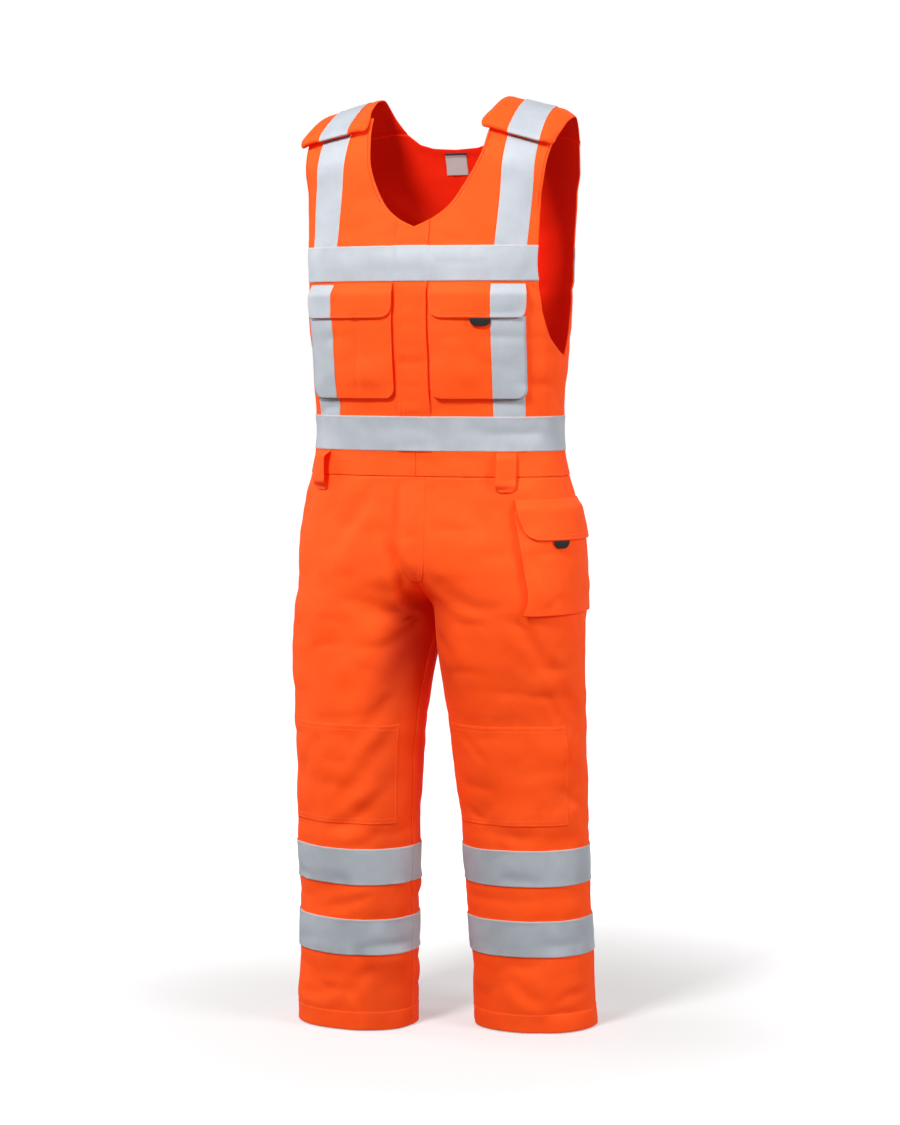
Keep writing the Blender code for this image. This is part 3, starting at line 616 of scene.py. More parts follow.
CREASES = (
    # Right leg, front: from the waist to the outer thigh, across the crotch, and down the inner thigh
    Crease(RIGHT, FRONT, ((60, 800), (84, 762), (106, 730), (124, 694)), 2.6, 15),
    Crease(RIGHT, FRONT, ((132, 664), (110, 660), (84, 668)), 1.4, 12),
    Crease(RIGHT, FRONT, ((140, 630), (110, 619), (88, 604), (62, 597)), 1.9, 13),
    Crease(RIGHT, FRONT, ((54, 590), (70, 566), (96, 532), (116, 497), (130, 462)), 2.5, 18),
    Crease(RIGHT, FRONT, ((48, 500), (64, 474), (82, 440), (100, 408)), 2.4, 12),
    Crease(RIGHT, FRONT, ((44, 448), (66, 408), (92, 366), (128, 326)), 3.4, 14),
    Crease(RIGHT, FRONT, ((46, 362), (74, 326), (104, 300), (150, 286)), 2.8, 13),
    Crease(RIGHT, FRONT, ((52, 292), (80, 272), (112, 266)), 1.6, 9),
    Crease(RIGHT, FRONT, ((150, 430), (178, 400), (190, 360)), 1.2, 12),
    Crease(RIGHT, FRONT, ((60, 200), (96, 184), (150, 176)), 1.6, 9),
    Crease(RIGHT, FRONT, ((62, 92), (92, 66), (104, 30)), 1.8, 12),
    Crease(RIGHT, FRONT, ((120, 60), (160, 40), (210, 44)), 1.4, 10),
    # Left leg, front: from the crotch under the thigh pocket, down its outer side, and round the knee
    Crease(LEFT, FRONT, ((20, 674), (42, 652), (76, 633), (120, 622), (190, 612)), 2.1, 13),
    Crease(LEFT, FRONT, ((204, 616), (212, 567), (216, 520)), 2.0, 11),
    Crease(LEFT, FRONT, ((8, 596), (44, 574), (76, 548), (84, 506)), 2.0, 13),
    Crease(LEFT, FRONT, ((226, 560), (238, 500), (240, 452)), 1.8, 12),
    Crease(LEFT, FRONT, ((206, 500), (214, 470), (218, 452)), 1.3, 7),
    Crease(LEFT, FRONT, ((232, 436), (228, 404), (222, 380)), 1.4, 8),
    Crease(LEFT, FRONT, ((60, 430), (84, 412), (96, 388)), 1.2, 8),
    Crease(LEFT, FRONT, ((210, 352), (226, 338), (240, 330)), 1.5, 8),
    Crease(LEFT, FRONT, ((52, 330), (74, 312), (92, 306)), 1.6, 9),
    Crease(LEFT, FRONT, ((110, 300), (140, 278), (176, 284)), 1.6, 12),
    Crease(LEFT, FRONT, ((90, 84), (132, 50), (160, 26)), 1.6, 13),
    Crease(LEFT, FRONT, ((170, 30), (200, 48), (240, 50)), 1.2, 9),
    # Beside the fly and below the waistband
    Crease(LEFT, FRONT, ((30, 806), (20, 774), (15, 740)), 1.6, 7),
    Crease(RIGHT, FRONT, ((27, 812), (27, 740), (25, 690), (14, 652)), 2.0, 6),
    Crease(
        RIGHT, FRONT, ((46, 744), (35, 708), (27, 684), (21, 660), (27, 634), (42, 604), (50, 566)), 5.2, 13
    ),
    Crease(LEFT, FRONT, ((60, 780), (96, 742), (120, 700)), 1.3, 15),
    Crease(LEFT, FRONT, ((150, 790), (158, 750), (164, 700)), 1.0, 12),
    Crease(RIGHT, FRONT, ((176, 790), (196, 740), (204, 680)), 1.4, 15),
    # Bib front
    Crease(LEFT, FRONT, ((196, 1000), (210, 960), (214, 905)), 1.6, 11),
    Crease(LEFT, FRONT, ((232, 968), (224, 930), (226, 900)), 1.0, 8),
    Crease(RIGHT, FRONT, ((196, 1010), (212, 950), (210, 900)), 1.4, 11),
    Crease(LEFT, FRONT, ((60, 1190), (76, 1168), (96, 1146)), 0.9, 14),
    Crease(RIGHT, FRONT, ((40, 1180), (70, 1160), (104, 1150)), 0.9, 14),
    # Back of the bib: out from the middle to the armholes, and above the waist
    Crease(LEFT, BACK, ((30, 1010), (90, 1040), (170, 1066), (214, 1078)), 2.0, 16),
    Crease(RIGHT, BACK, ((20, 980), (96, 1000), (176, 1030), (220, 1052)), 1.8, 15),
    Crease(LEFT, BACK, ((12, 1150), (70, 1190), (110, 1232)), 1.5, 15),
    Crease(RIGHT, BACK, ((16, 1140), (80, 1176), (118, 1226)), 1.6, 16),
    Crease(LEFT, BACK, ((20, 924), (110, 934), (190, 920)), 1.8, 11),
    Crease(RIGHT, BACK, ((34, 912), (120, 916), (206, 906)), 1.7, 11),
    # Seat and the backs of the thighs
    Crease(LEFT, BACK, ((20, 700), (70, 664), (140, 640), (200, 632)), 2.8, 15),
    Crease(RIGHT, BACK, ((16, 690), (72, 650), (150, 626), (214, 622)), 3.0, 16),
    Crease(LEFT, BACK, ((30, 640), (84, 600), (150, 584)), 2.6, 14),
    Crease(RIGHT, BACK, ((24, 628), (80, 586), (156, 566)), 2.4, 14),
    Crease(LEFT, BACK, ((60, 786), (84, 740), (96, 690)), 1.4, 16),
    Crease(RIGHT, BACK, ((74, 780), (92, 736), (100, 696)), 1.4, 15),
    # Backs of the knees and the calves
    Crease(LEFT, BACK, ((40, 452), (110, 436), (190, 452)), 3.0, 12),
    Crease(LEFT, BACK, ((60, 404), (130, 392), (210, 410)), 2.6, 12),
    Crease(LEFT, BACK, ((30, 366), (96, 346), (170, 352)), 2.0, 11),
    Crease(RIGHT, BACK, ((50, 444), (120, 430), (206, 446)), 3.0, 13),
    Crease(RIGHT, BACK, ((34, 402), (110, 380), (186, 392)), 2.6, 12),
    Crease(RIGHT, BACK, ((60, 352), (130, 330), (200, 340)), 2.0, 11),
    Crease(LEFT, BACK, ((70, 190), (130, 176), (190, 182)), 1.6, 10),
    Crease(RIGHT, BACK, ((60, 184), (120, 178), (180, 190)), 1.5, 10),
    Crease(LEFT, BACK, ((90, 70), (130, 40), (170, 30)), 1.5, 12),
    Crease(RIGHT, BACK, ((100, 76), (146, 48), (190, 40)), 1.5, 12),
)


class Relief:
    """How far the cloth stands off the form: broad drape, placed creases, seam puckers and fine crumple."""

    # Broad folds hang down, so they are longer than they are wide
    BROAD = np.array([95.0, 95.0, 190.0])
    MIDDLE = 44.0
    SMALL = np.array([26.0, 26.0, 20.0])
    CRUMPLE = 15.0
    CRISP = np.array([64.0, 64.0, 34.0])
    PUCKER_REACH = 9.0

    def __init__(self, form: Form) -> None:
        """Lays the creases on the form.

        Args:
            form: The body form.
        """
        self.form = form
        self.noise = Noise(11)
        self.lines = [(crease, self._laid(crease)) for crease in CREASES]

    def _laid(self, crease: Crease) -> Array:
        """A crease's line as close points on the form.

        Args:
            crease: The crease.

        Returns:
            Its points.
        """
        at = np.linspace(0, len(crease.line) - 1, 8 * len(crease.line))
        knots = np.arange(len(crease.line))
        along = smooth_curve(knots, [float(p[0]) for p in crease.line], at)
        height = smooth_curve(knots, [float(p[1]) for p in crease.line], at)
        if crease.face == BACK:
            along = self.form.whole_length(crease.side, height) - along
        return self.form.place(Spots.on(crease.side, along, height))[0]

    def at(self, spots: Spots, points: Array, normals: Array) -> Array:
        """The cloth's distance from the form.

        Args:
            spots: The places.
            points: The form's points there.
            normals: The form's normals there.

        Returns:
            The distance outwards at each place.
        """
        height = spots.height
        broad = self.noise.at(points / self.BROAD) + 0.5 * self.noise.at(points / (0.5 * self.BROAD) + 7)
        levels = (0, 560, 700, 840, 1000, 1200, 1300)
        lift = broad * np.interp(height, levels, (2.1, 2.3, 1.7, 0.8, 1.4, 1.1, 0.4))
        lift += self.noise.at(points / self.MIDDLE + 3) * np.interp(height, (0, 800, 1240), (1.3, 0.9, 0.6))
        lift += self.noise.at(points / self.SMALL + 31) * np.interp(height, (0, 800, 1240), (0.5, 0.45, 0.35))
        # Sharp little valleys, mostly level, run where this noise changes sign
        crisp = np.sqrt(self.noise.at(points / self.CRISP + 53) ** 2 + 0.004) - 0.3
        share = (4.6, 4.2, 3.4, 3.2, 2.8, 3.8, 3.0, 1.4)
        lift += crisp * np.interp(height, (0, 330, 400, 640, 780, 860, 960, 1240), share)
        # The side seams pull the legs straight
        seam = np.where(spots.side == LEFT, *(self.form.front_length(side, height) for side in (LEFT, RIGHT)))
        lift *= 1 - 0.6 * bump(spots.along, seam, 46) * ease_in(height, 820, 780)
        for crease, line in self.lines:
            lift += self._crease(crease, line, points, normals)
        lift *= self._slack(height)
        lift += 0.22 * self.noise.at(points / self.CRUMPLE + 19)
        lift += self._puckers(spots, points)
        # The inner thighs almost touch, so the cloth stays on the form there
        inner = 1 - ease_in(np.abs(points[..., 0]), 2, 22)
        lift -= lift * inner * (height < 640) * (height > 430)
        return lift

    def _crease(self, crease: Crease, line: Array, points: Array, normals: Array) -> Array:
        """One crease's share of the relief.

        Args:
            crease: The crease.
            line: Its points on the form.
            points: The form's points.
            normals: The form's normals.

        Returns:
            The distance that it adds at each point.
        """
        lift = np.zeros(points.shape[:-1])
        reach = 3.6 * crease.width
        near = np.all((points > line.min(0) - reach) & (points < line.max(0) + reach), axis=-1)
        if not near.any():
            return lift
        at, out = points[near], normals[near]
        starts, steps = line[:-1], np.diff(line, axis=0)
        best = np.full(len(at), np.inf)
        share = np.zeros(len(at))
        signed = np.zeros(len(at))
        for i, (start, step) in enumerate(zip(starts, steps)):
            away = at - start
            t = np.clip(away @ step / max(step @ step, 1e-9), 0, 1)
            off = away - t[:, None] * step
            gap = np.linalg.norm(off, axis=1)
            closer = gap < best
            best = np.where(closer, gap, best)
            share = np.where(closer, (i + t) / len(steps), share)
            turn = np.sign(np.einsum("ij,ij->i", np.cross(step, out), off))
            signed = np.where(closer, gap * turn, signed)
        signed = signed + 0.3 * crease.width * self.noise.at(at / 42)
        fade = ease_in(share, 0, 0.3) * ease_in(share, 1, 0.7)
        width = crease.width * (0.5 + 0.36 * fade)
        shape = -np.exp(-((signed / width) ** 2))
        shape += 0.6 * np.exp(-(((signed - 1.7 * width) / (1.1 * width)) ** 2))
        shape += 0.4 * np.exp(-(((signed + 1.7 * width) / (1.2 * width)) ** 2))
        lift[near] = 1.05 * crease.depth * fade * shape
        return lift

    @staticmethod
    def _slack(height: Array) -> Array:
        """How freely the cloth folds: less where tape, a waistband or a hem makes it stiff.

        Args:
            height: The height of each place.

        Returns:
            The share of the folds that is left at each place.
        """
        stiff = np.zeros(np.shape(height))
        bands = [(low, low + LEG_TAPE_WIDTH, 0.45) for low in LEG_TAPES]
        bands += [(WAIST_SEAM, WAIST_TAPE + TAPE_WIDTH, 0.55), (CHEST_TAPE, CHEST_TAPE + TAPE_WIDTH, 0.5)]
        bands += [(HEM, HEM_FOLD, 0.3), (1250.0, 1400.0, 0.6)]
        for low, high, amount in bands:
            inside = ease_in(height, low - 14, low + 6) * ease_in(height, high + 14, high - 6)
            stiff = np.maximum(stiff, amount * inside)
        return 1 - stiff

    def _puckers(self, spots: Spots, points: Array) -> Array:
        """The small gathers that stitching leaves along seams and tape edges.

        Args:
            spots: The places.
            points: The form's points there.

        Returns:
            The distance that they add at each place.
        """
        level = [HEM_FOLD, KNEE_PATCH[0], KNEE_PATCH[1], WAIST_SEAM, WAIST_TAPE + TAPE_WIDTH]
        level += [CHEST_TAPE, CHEST_TAPE + TAPE_WIDTH, WAIST_TAPE]
        for low in LEG_TAPES:
            level += [low, low + LEG_TAPE_WIDTH]
        across = np.zeros(points.shape[:-1])
        for height in level:
            across = np.maximum(across, bump(spots.height, height, self.PUCKER_REACH))
        lift = 0.8 * across * self.noise.at(points / np.array([9.0, 9.0, 40.0]))
        upright = np.zeros(points.shape[:-1])
        for side in (LEFT, RIGHT):
            here = spots.side == side
            seam = self.form.front_length(side, spots.height)
            whole = self.form.whole_length(side, spots.height)
            for where in (seam, whole, 0 * seam):
                fade = ease_in(spots.height, ARMHOLE_BOTTOM + 10, ARMHOLE_BOTTOM - 30)
                upright = np.maximum(upright, here * fade * bump(spots.along - where, 0, self.PUCKER_REACH))
        lift += 0.6 * upright * self.noise.at(points / np.array([40.0, 40.0, 10.0]) + 5)
        return lift


def to_linear(code: str) -> tuple[float, float, float, float]:
    """Turns an sRGB colour into Blender's linear one.

    Args:
        code: The colour as hex digits, such as "#FF5A1F".

    Returns:
        Linear red, green, blue and an alpha of 1.
    """
    parts = [int(code[i : i + 2], 16) / 255 for i in (1, 3, 5)]
    red, green, blue = (c / 12.92 if c <= 0.04045 else ((c + 0.055) / 1.055) ** 2.4 for c in parts)
    return red, green, blue, 1.0


def feed(node: bpy.types.Node, links: dict) -> None:
    """Feeds a node's inputs.

    Args:
        node: The node.
        links: For each input, by name or number, the socket that feeds it or its value.
    """
    for name, value in links.items():
        if isinstance(value, bpy.types.NodeSocket):
            node.id_data.links.new(value, node.inputs[name])
        else:
            node.inputs[name].default_value = value


def add_node(
    tree: bpy.types.NodeTree, kind: str, output: str, links: dict | None = None, **settings: str
) -> bpy.types.NodeSocket:
    """Adds a node.

    Args:
        tree: The node tree.
        kind: The node's type.
        output: The output that is wanted.
        links: What feeds its inputs.
        settings: Attributes of the node, by name.

    Returns:
        The output.
    """
    node = tree.nodes.new(kind)
    for name, value in settings.items():
        setattr(node, name, value)
    feed(node, links or {})
    return node.outputs[output]


def new_finish(name: str) -> tuple[bpy.types.Material, Callable, bpy.types.Node]:
    """Starts a material.

    Args:
        name: Its name.

    Returns:
        The material, what adds a node to it, and its shader.
    """
    made = bpy.data.materials.new(name)
    made.use_nodes = True
    return made, partial(add_node, made.node_tree), made.node_tree.nodes["Principled BSDF"]


CLOTH_MAP = "cloth_metres"
PAINTED_LIGHT_MAP = "daylight"
TAPE_MAP = "tape_across"
# Blender's band wave repeats every 2 pi / 20 of its scaled coordinate
WAVE_PERIOD = math.tau / 20
# The colour of a painted glow that needs no lamp, standing in for what the fluorescent dye makes of daylight
PAINTED_GLOW = "#FF1400"


@dataclass(frozen=True)
class FluorescentTwill:
    """Polyester-cotton work twill, dyed fluorescent orange: matt, strong in red, with fine ribs."""

    name: str = "fluorescent_orange_twill"
    colour: str = "#D95516"
    # Wear and washing leave it a little paler and yellower in places
    washed: str = "#DB5E20"
    # Real ribs lie 0.5 mm apart. They are drawn at 1.5 mm so that they show
    rib_mm: float = 1.5
    slub_mm: float = 0.9
    # A painted red glow that needs no lamp stands in for the dye's fluorescence, which turns part of the blue
    # and green light into red, so shaded cloth stays red
    glow_strength: float = 0.38
    # The painted shade's colour, and the share of it on cloth that faces the other leg
    hidden: str = "#7A0600"
    hidden_share: float = 0.85
    roughness: float = 0.78
    sheen: float = 0.08
    gloss: float = 0.18

    def build(self) -> bpy.types.Material:
        """Makes the material."""
        made, add, shader = new_finish(self.name)
        place = add("ShaderNodeUVMap", "UV", uv_map=CLOTH_MAP)
        tilt = (0.0, 0.0, math.radians(-52))
        turned = add("ShaderNodeMapping", "Vector", {"Vector": place, "Rotation": tilt})
        bands = {"Vector": turned, "Scale": WAVE_PERIOD / (self.rib_mm / 1000)}
        bands |= {"Distortion": 0.6, "Detail": 1.0, "Detail Scale": 2.0}
        ribs = add("ShaderNodeTexWave", "Fac", bands, wave_type="BANDS", bands_direction="X")
        fibres = {"Vector": place, "Scale": 1000 / self.slub_mm, "Detail": 2.0, "Roughness": 0.6}
        slubs = add("ShaderNodeTexNoise", "Fac", fibres)
        relief = add("ShaderNodeMix", "Result", {"Factor": 0.35, "A": ribs, "B": slubs}, data_type="FLOAT")
        handled = {"Vector": place, "Scale": 120.0, "Detail": 3.0, "Roughness": 0.55}
        crumple = add("ShaderNodeTexNoise", "Fac", handled)
        weave = add("ShaderNodeBump", "Normal", {"Strength": 0.35, "Distance": 0.0003, "Height": relief})
        bent = {"Strength": 0.25, "Distance": 0.0012, "Height": crumple, "Normal": weave}
        normal = add("ShaderNodeBump", "Normal", bent)
        worn = {"Vector": place, "Scale": 14.0, "Detail": 4.0, "Roughness": 0.6}
        patches = add("ShaderNodeTexNoise", "Fac", worn)
        fading = {"Value": patches, "From Min": 0.35, "From Max": 0.75, "To Min": 0.0, "To Max": 0.8}
        fade = add("ShaderNodeMapRange", "Result", fading)
        dyed = {"Factor": fade, "A": to_linear(self.colour), "B": to_linear(self.washed)}
        base = add("ShaderNodeMix", "Result", dyed, data_type="RGBA")
        # Colour follows the ribs' relief: troughs painted darker and crests a little paler, a painted shade
        # and highlight in the weave
        shade = add("ShaderNodeMapRange", "Result", {"Value": relief, "To Min": 0.88, "To Max": 1.05})
        shaded = {"Factor": 1.0, "A": base, "B": shade}
        rib_shaded = add("ShaderNodeMix", "Result", shaded, data_type="RGBA", blend_type="MULTIPLY")
        dulling = {"Value": relief, "To Min": self.roughness + 0.08, "To Max": self.roughness - 0.08}
        dull = add("ShaderNodeMapRange", "Result", dulling)
        # Between the legs the colour is mixed towards a deep red painted shade, and the painted glow is
        # turned down, as far as the painted-light map says
        reach = add("ShaderNodeUVMap", "UV", uv_map=PAINTED_LIGHT_MAP)
        painted_light = add("ShaderNodeSeparateXYZ", "X", {"Vector": reach})
        painted_shading = {"Value": painted_light, "From Min": 1.0, "From Max": 0.5, "To Min": 0.0, "To Max": self.hidden_share}
        hidden = add("ShaderNodeMapRange", "Result", painted_shading)
        deep = {"Factor": hidden, "A": rib_shaded, "B": to_linear(self.hidden)}
        seen = add("ShaderNodeMix", "Result", deep, data_type="RGBA")
        glow = add("ShaderNodeMath", "Value", {0: painted_light, 1: self.glow_strength}, operation="MULTIPLY")
        feed(shader, {"Base Color": seen, "Roughness": dull, "Normal": normal, "IOR": 1.45})
        feed(shader, {"Specular IOR Level": self.gloss, "Sheen Weight": self.sheen, "Sheen Roughness": 0.45})
        feed(shader, {"Sheen Tint": to_linear("#FFB07A"), "Emission Color": to_linear(PAINTED_GLOW)})
        feed(shader, {"Emission Strength": glow})
        return made


@dataclass(frozen=True)
class ReflectiveTape:
    """Silver reflective tape: glass beads on an aluminised film on cloth, so grey, satin and grainy."""

    name: str = "silver_reflective_tape"
    colour: str = "#B2B7BF"
    # The sewn edges are painted paler and pinker: a painted highlight, with painted orange light bounced from
    # the twill
    edge: str = "#C6B8B4"
    edge_share: float = 0.07
    # Beads are under 0.1 mm. Their grain is drawn at 0.8 mm
    bead_mm: float = 0.8
    metallic: float = 0.0
    roughness: float = 0.52

    def build(self) -> bpy.types.Material:
        """Makes the material."""
        made, add, shader = new_finish(self.name)
        place = add("ShaderNodeUVMap", "UV", uv_map=CLOTH_MAP)
        across = add("ShaderNodeUVMap", "UV", uv_map=TAPE_MAP)
        share = add("ShaderNodeSeparateXYZ", "X", {"Vector": across})
        off = add("ShaderNodeMath", "Value", {0: share, 1: 0.5}, operation="SUBTRACT")
        from_middle = add("ShaderNodeMath", "Value", {0: off}, operation="ABSOLUTE")
        # A painted highlight along both long edges
        sewn = {"Value": from_middle, "From Min": 0.5 - self.edge_share, "From Max": 0.5, "To Max": 0.8}
        rim = add("ShaderNodeMapRange", "Result", sewn, interpolation_type="SMOOTHSTEP")
        uneven = {"Vector": place, "Scale": 26.0, "Detail": 3.0, "Roughness": 0.6}
        clouds = add("ShaderNodeTexNoise", "Fac", uneven)
        sown = {"Vector": place, "Scale": 1000 / self.bead_mm, "Randomness": 0.8}
        beads = add("ShaderNodeTexVoronoi", "Distance", sown, feature="F1")
        highlighted = {"Factor": rim, "A": to_linear(self.colour), "B": to_linear(self.edge)}
        base = add("ShaderNodeMix", "Result", highlighted, data_type="RGBA")
        clouded = {"Value": clouds, "From Min": 0.3, "From Max": 0.7, "To Min": 0.93, "To Max": 1.04}
        shade = add("ShaderNodeMapRange", "Result", clouded)
        shaded = {"Factor": 1.0, "A": base, "B": shade}
        surface = add("ShaderNodeMix", "Result", shaded, data_type="RGBA", blend_type="MULTIPLY")
        dulling = {"Value": beads, "To Min": self.roughness - 0.06, "To Max": self.roughness + 0.12}
        dull = add("ShaderNodeMapRange", "Result", dulling)
        grain = add("ShaderNodeBump", "Normal", {"Strength": 0.2, "Distance": 0.0001, "Height": beads})
        bent = {"Strength": 0.3, "Distance": 0.002, "Height": clouds, "Normal": grain}
        normal = add("ShaderNodeBump", "Normal", bent)
        feed(shader, {"Base Color": surface, "Roughness": dull, "Normal": normal, "Metallic": self.metallic})
        return made


@dataclass(frozen=True)
class PlainYarn:
    """A small textile part with a fine grain: sewing thread, hook-and-loop tape or a woven label."""

    name: str
    colour: str
    second: str
    grain_mm: float
    roughness: float
    sheen: float = 0.0
    glow_strength: float = 0.0
    depth: float = 0.0002

    def build(self) -> bpy.types.Material:
        """Makes the material."""
        made, add, shader = new_finish(self.name)
        place = add("ShaderNodeUVMap", "UV", uv_map=CLOTH_MAP)
        fibres = {"Vector": place, "Scale": 1000 / self.grain_mm, "Detail": 2.0}
        grain = add("ShaderNodeTexNoise", "Fac", fibres)
        spun = {"Factor": grain, "A": to_linear(self.colour), "B": to_linear(self.second)}
        base = add("ShaderNodeMix", "Result", spun, data_type="RGBA")
        normal = add("ShaderNodeBump", "Normal", {"Strength": 0.5, "Distance": self.depth, "Height": grain})
        feed(shader, {"Base Color": base, "Normal": normal, "Roughness": self.roughness})
        feed(shader, {"Sheen Weight": self.sheen})
        # A painted glow that needs no lamp, as on the twill
        if self.glow_strength:
            feed(shader, {"Emission Color": to_linear(PAINTED_GLOW), "Emission Strength": self.glow_strength})
        return made


class Wardrobe:
    """The finishes, each made once, and which of them each slot of the record has."""

    def __init__(self) -> None:
        """Makes every material."""
        twill = FluorescentTwill().build()
        # The same twill seen from inside, painted a deeper, redder colour as shade, with a weaker painted
        # glow
        self.reverse = FluorescentTwill(
            "fluorescent_orange_twill_reverse", "#E4220A", "#E62A0E", glow_strength=0.05, sheen=0.0,
            gloss=0.06
        ).build()
        tape = ReflectiveTape().build()
        # Spun polyester thread, dyed to match: a little glossier and deeper than the cloth, with a weaker
        # painted glow
        thread = PlainYarn("orange_thread", "#F8581C", "#FF7A3A", 0.6, 0.55, 0.1, 0.16).build()
        grey_thread = PlainYarn("grey_thread", "#AEB4BB", "#CBD0D6", 0.6, 0.5).build()
        # Nylon hook-and-loop tape: black and fuzzy
        hook = PlainYarn("black_hook_tape", "#0B0B0C", "#1C1B1E", 1.1, 0.92, 0.08, depth=0.0006).build()
        # Woven satin label, left bare: pale grey with a dark folded top
        label = PlainYarn("grey_woven_label", "#A5A2A1", "#C6C2BE", 1.2, 0.6, depth=0.0003).build()
        self.label_fold = PlainYarn("dark_label_fold", "#26232B", "#3A3640", 0.9, 0.7).build()
        self.cloth = {Slot.TWILL: twill, Slot.TAPE: tape, Slot.TAB: hook, Slot.LABEL: label}
        self.thread = {Slot.TWILL: thread, Slot.TAPE: grey_thread}


@dataclass
class Cutter:
    """Cuts pieces of cloth out of grids of places, dresses them and fixes them to the garment.

    Attributes:
        form: The body form.
        relief: The cloth's folds.
        wardrobe: The finishes.
        made: The pieces made so far, by name.
    """

    form: Form
    relief: Relief
    wardrobe: Wardrobe
    made: dict[str, bpy.types.Object] = field(default_factory=dict)

    def surface(self, spots: Spots, lift: Array | float) -> tuple[Array, Array]:
        """Points on the folded cloth.

        Args:
            spots: The places.
            lift: How far outside the folded cloth each point lies.

        Returns:
            The points, and the form's normals.
        """
        points, normals = self.form.place(spots)
        rise = self.relief.at(spots, points, normals) + lift
        return points + rise[..., None] * normals, normals

    def mesh(self, name: str, points: Array, faces: Array, maps: dict[str, Array]) -> bpy.types.Object:
        """Makes an object from arrays.

        Args:
            name: The piece's name.
            points: Its points, in millimetres above the datum.
            faces: Its faces, all with the same number of corners.
            maps: For each map, a pair of values for each point.

        Returns:
            The object, shaded smooth.
        """
        data = bpy.data.meshes.new(name)
        data.vertices.add(len(points))
        data.loops.add(faces.size)
        data.polygons.add(len(faces))
        placed = (points - np.array([0.0, 0.0, SHOULDER])) / 1000
        data.vertices.foreach_set("co", placed.astype(np.float32).ravel())
        data.loops.foreach_set("vertex_index", faces.astype(np.int32).ravel())
        data.polygons.foreach_set("loop_start", np.arange(0, faces.size, faces.shape[1], dtype=np.int32))
        data.polygons.foreach_set("use_smooth", np.ones(len(faces), bool))
        for map_name, values in maps.items():
            layer = data.uv_layers.new(name=map_name)
            layer.data.foreach_set("uv", values[faces.ravel()].astype(np.float32).ravel())
        data.update(calc_edges=True)
        data.validate()
        piece = bpy.data.objects.new(name, data)
        bpy.context.scene.collection.objects.link(piece)
        return piece

    @staticmethod
    def daylight(spots: Spots, points: Array, normals: Array) -> Array:
        """The share of painted light at each place: less between the legs, where the twill paints shade and
        turns its painted glow down.

        The light is taken to come from the wearer's right, so the right leg's inner side, which faces away,
        gets the deepest painted shade.

        Args:
            spots: The places.
            points: The cloth's points there.
            normals: The form's normals there.

        Returns:
            A share from 0.5 to 1 at each place.
        """
        height = spots.height
        inward = ease_in(-spots.side * normals[..., 0] - 0.28 * ease_in(height, 480, 600), 0.0, 0.6)
        # On the seam in the very middle, where the two sides meet, the painted shade is as deep
        seam = ease_in(np.abs(points[..., 0]) * 1000, 24, 8)
        between = np.maximum(inward, seam) * ease_in(height, 678, 640)
        depth = np.where(spots.side == RIGHT, 0.5, 0.2) * (0.3 + 0.7 * ease_in(height, 430, 570))
        return 1 - depth * between

    @staticmethod
    def shell(rows: int, columns: int, flipped: bool) -> tuple[Array, int]:
        """The faces of a closed wall: its outer layer, its inner layer and the rim that joins them.

        Args:
            rows: How many rows each layer has.
            columns: How many points each row has.
            flipped: True where the outer layer's rows and columns run the other way round.

        Returns:
            The faces, and how many of them each layer has.
        """
        index = np.arange(rows * columns).reshape(rows, columns)
        quads = np.stack([index[:-1, :-1], index[:-1, 1:], index[1:, 1:], index[1:, :-1]], -1).reshape(-1, 4)
        ring = np.concatenate([index[0, :], index[1:, -1], index[-1, -2::-1], index[-2:0:-1, 0]])
        after = np.roll(ring, -1)
        skin = rows * columns
        sides = np.stack([ring, ring + skin, after + skin, after], -1)
        if flipped:
            quads, sides = quads[:, ::-1], sides[:, ::-1]
        return np.concatenate([quads, quads[:, ::-1] + skin, sides]), len(quads)

    def wall(
        self, name: str, spots: Spots, low: Array | float, high: Array | float, across: Array | None = None,
        shift: tuple[Array, Array] | None = None
    ) -> bpy.types.Object:
        """A closed wall of cloth between two layers, with its edges rounded.

        Args:
            name: The piece's name.
            spots: Its grid.
            low: The inner layer's lift.
            high: The outer layer's lift.
            across: For a tape, how far across it each place lies, from 0 to 1.
            shift: What to add to each place's distance and height, for a wall that leans.

        Returns:
            The object.
        """
        rows, columns = spots.along.shape
        points, normals = self.form.place(spots)
        rise = self.relief.at(spots, points, normals)
        if shift is not None:
            over, up = shift
            points, normals = self.form.place(Spots(spots.side, spots.along + over, spots.height + up))
        low, high = np.broadcast_to(low, rise.shape), np.broadcast_to(high, rise.shape)
        rim = np.zeros(rise.shape, bool)
        rim[[0, -1], :] = True
        rim[:, [0, -1]] = True
        pinch = 0.3 * (high - low) * rim
        outside = points + (rise + high - pinch)[..., None] * normals
        inside = points + (rise + low + pinch)[..., None] * normals
        i, j = rows // 2, columns // 2
        over, up = outside[i, j] - outside[i, j - 1], outside[i, j] - outside[i - 1, j]
        faces, layer = self.shell(rows, columns, flipped=np.cross(over, up) @ normals[i, j] < 0)
        place = np.stack([spots.side * spots.along, spots.height], -1).reshape(-1, 2) / 1000
        # The painted-light share, which the twill reads to paint shade between the legs
        painted_light = np.repeat(self.daylight(spots, outside, normals).reshape(-1, 1), 2, axis=1)
        maps = {CLOTH_MAP: np.concatenate([place, place + 0.5]), PAINTED_LIGHT_MAP: np.concatenate([painted_light, painted_light])}
        if across is not None:
            share = np.stack([across, np.zeros(across.shape)], -1).reshape(-1, 2)
            maps[TAPE_MAP] = np.concatenate([share, share])
        whole = np.concatenate([outside.reshape(-1, 3), inside.reshape(-1, 3)])
        piece = self.mesh(name, whole, faces, maps)
        inner = np.zeros(len(faces), np.int32)
        inner[layer : 2 * layer] = 1
        piece.data.polygons.foreach_set("material_index", inner)
        return piece

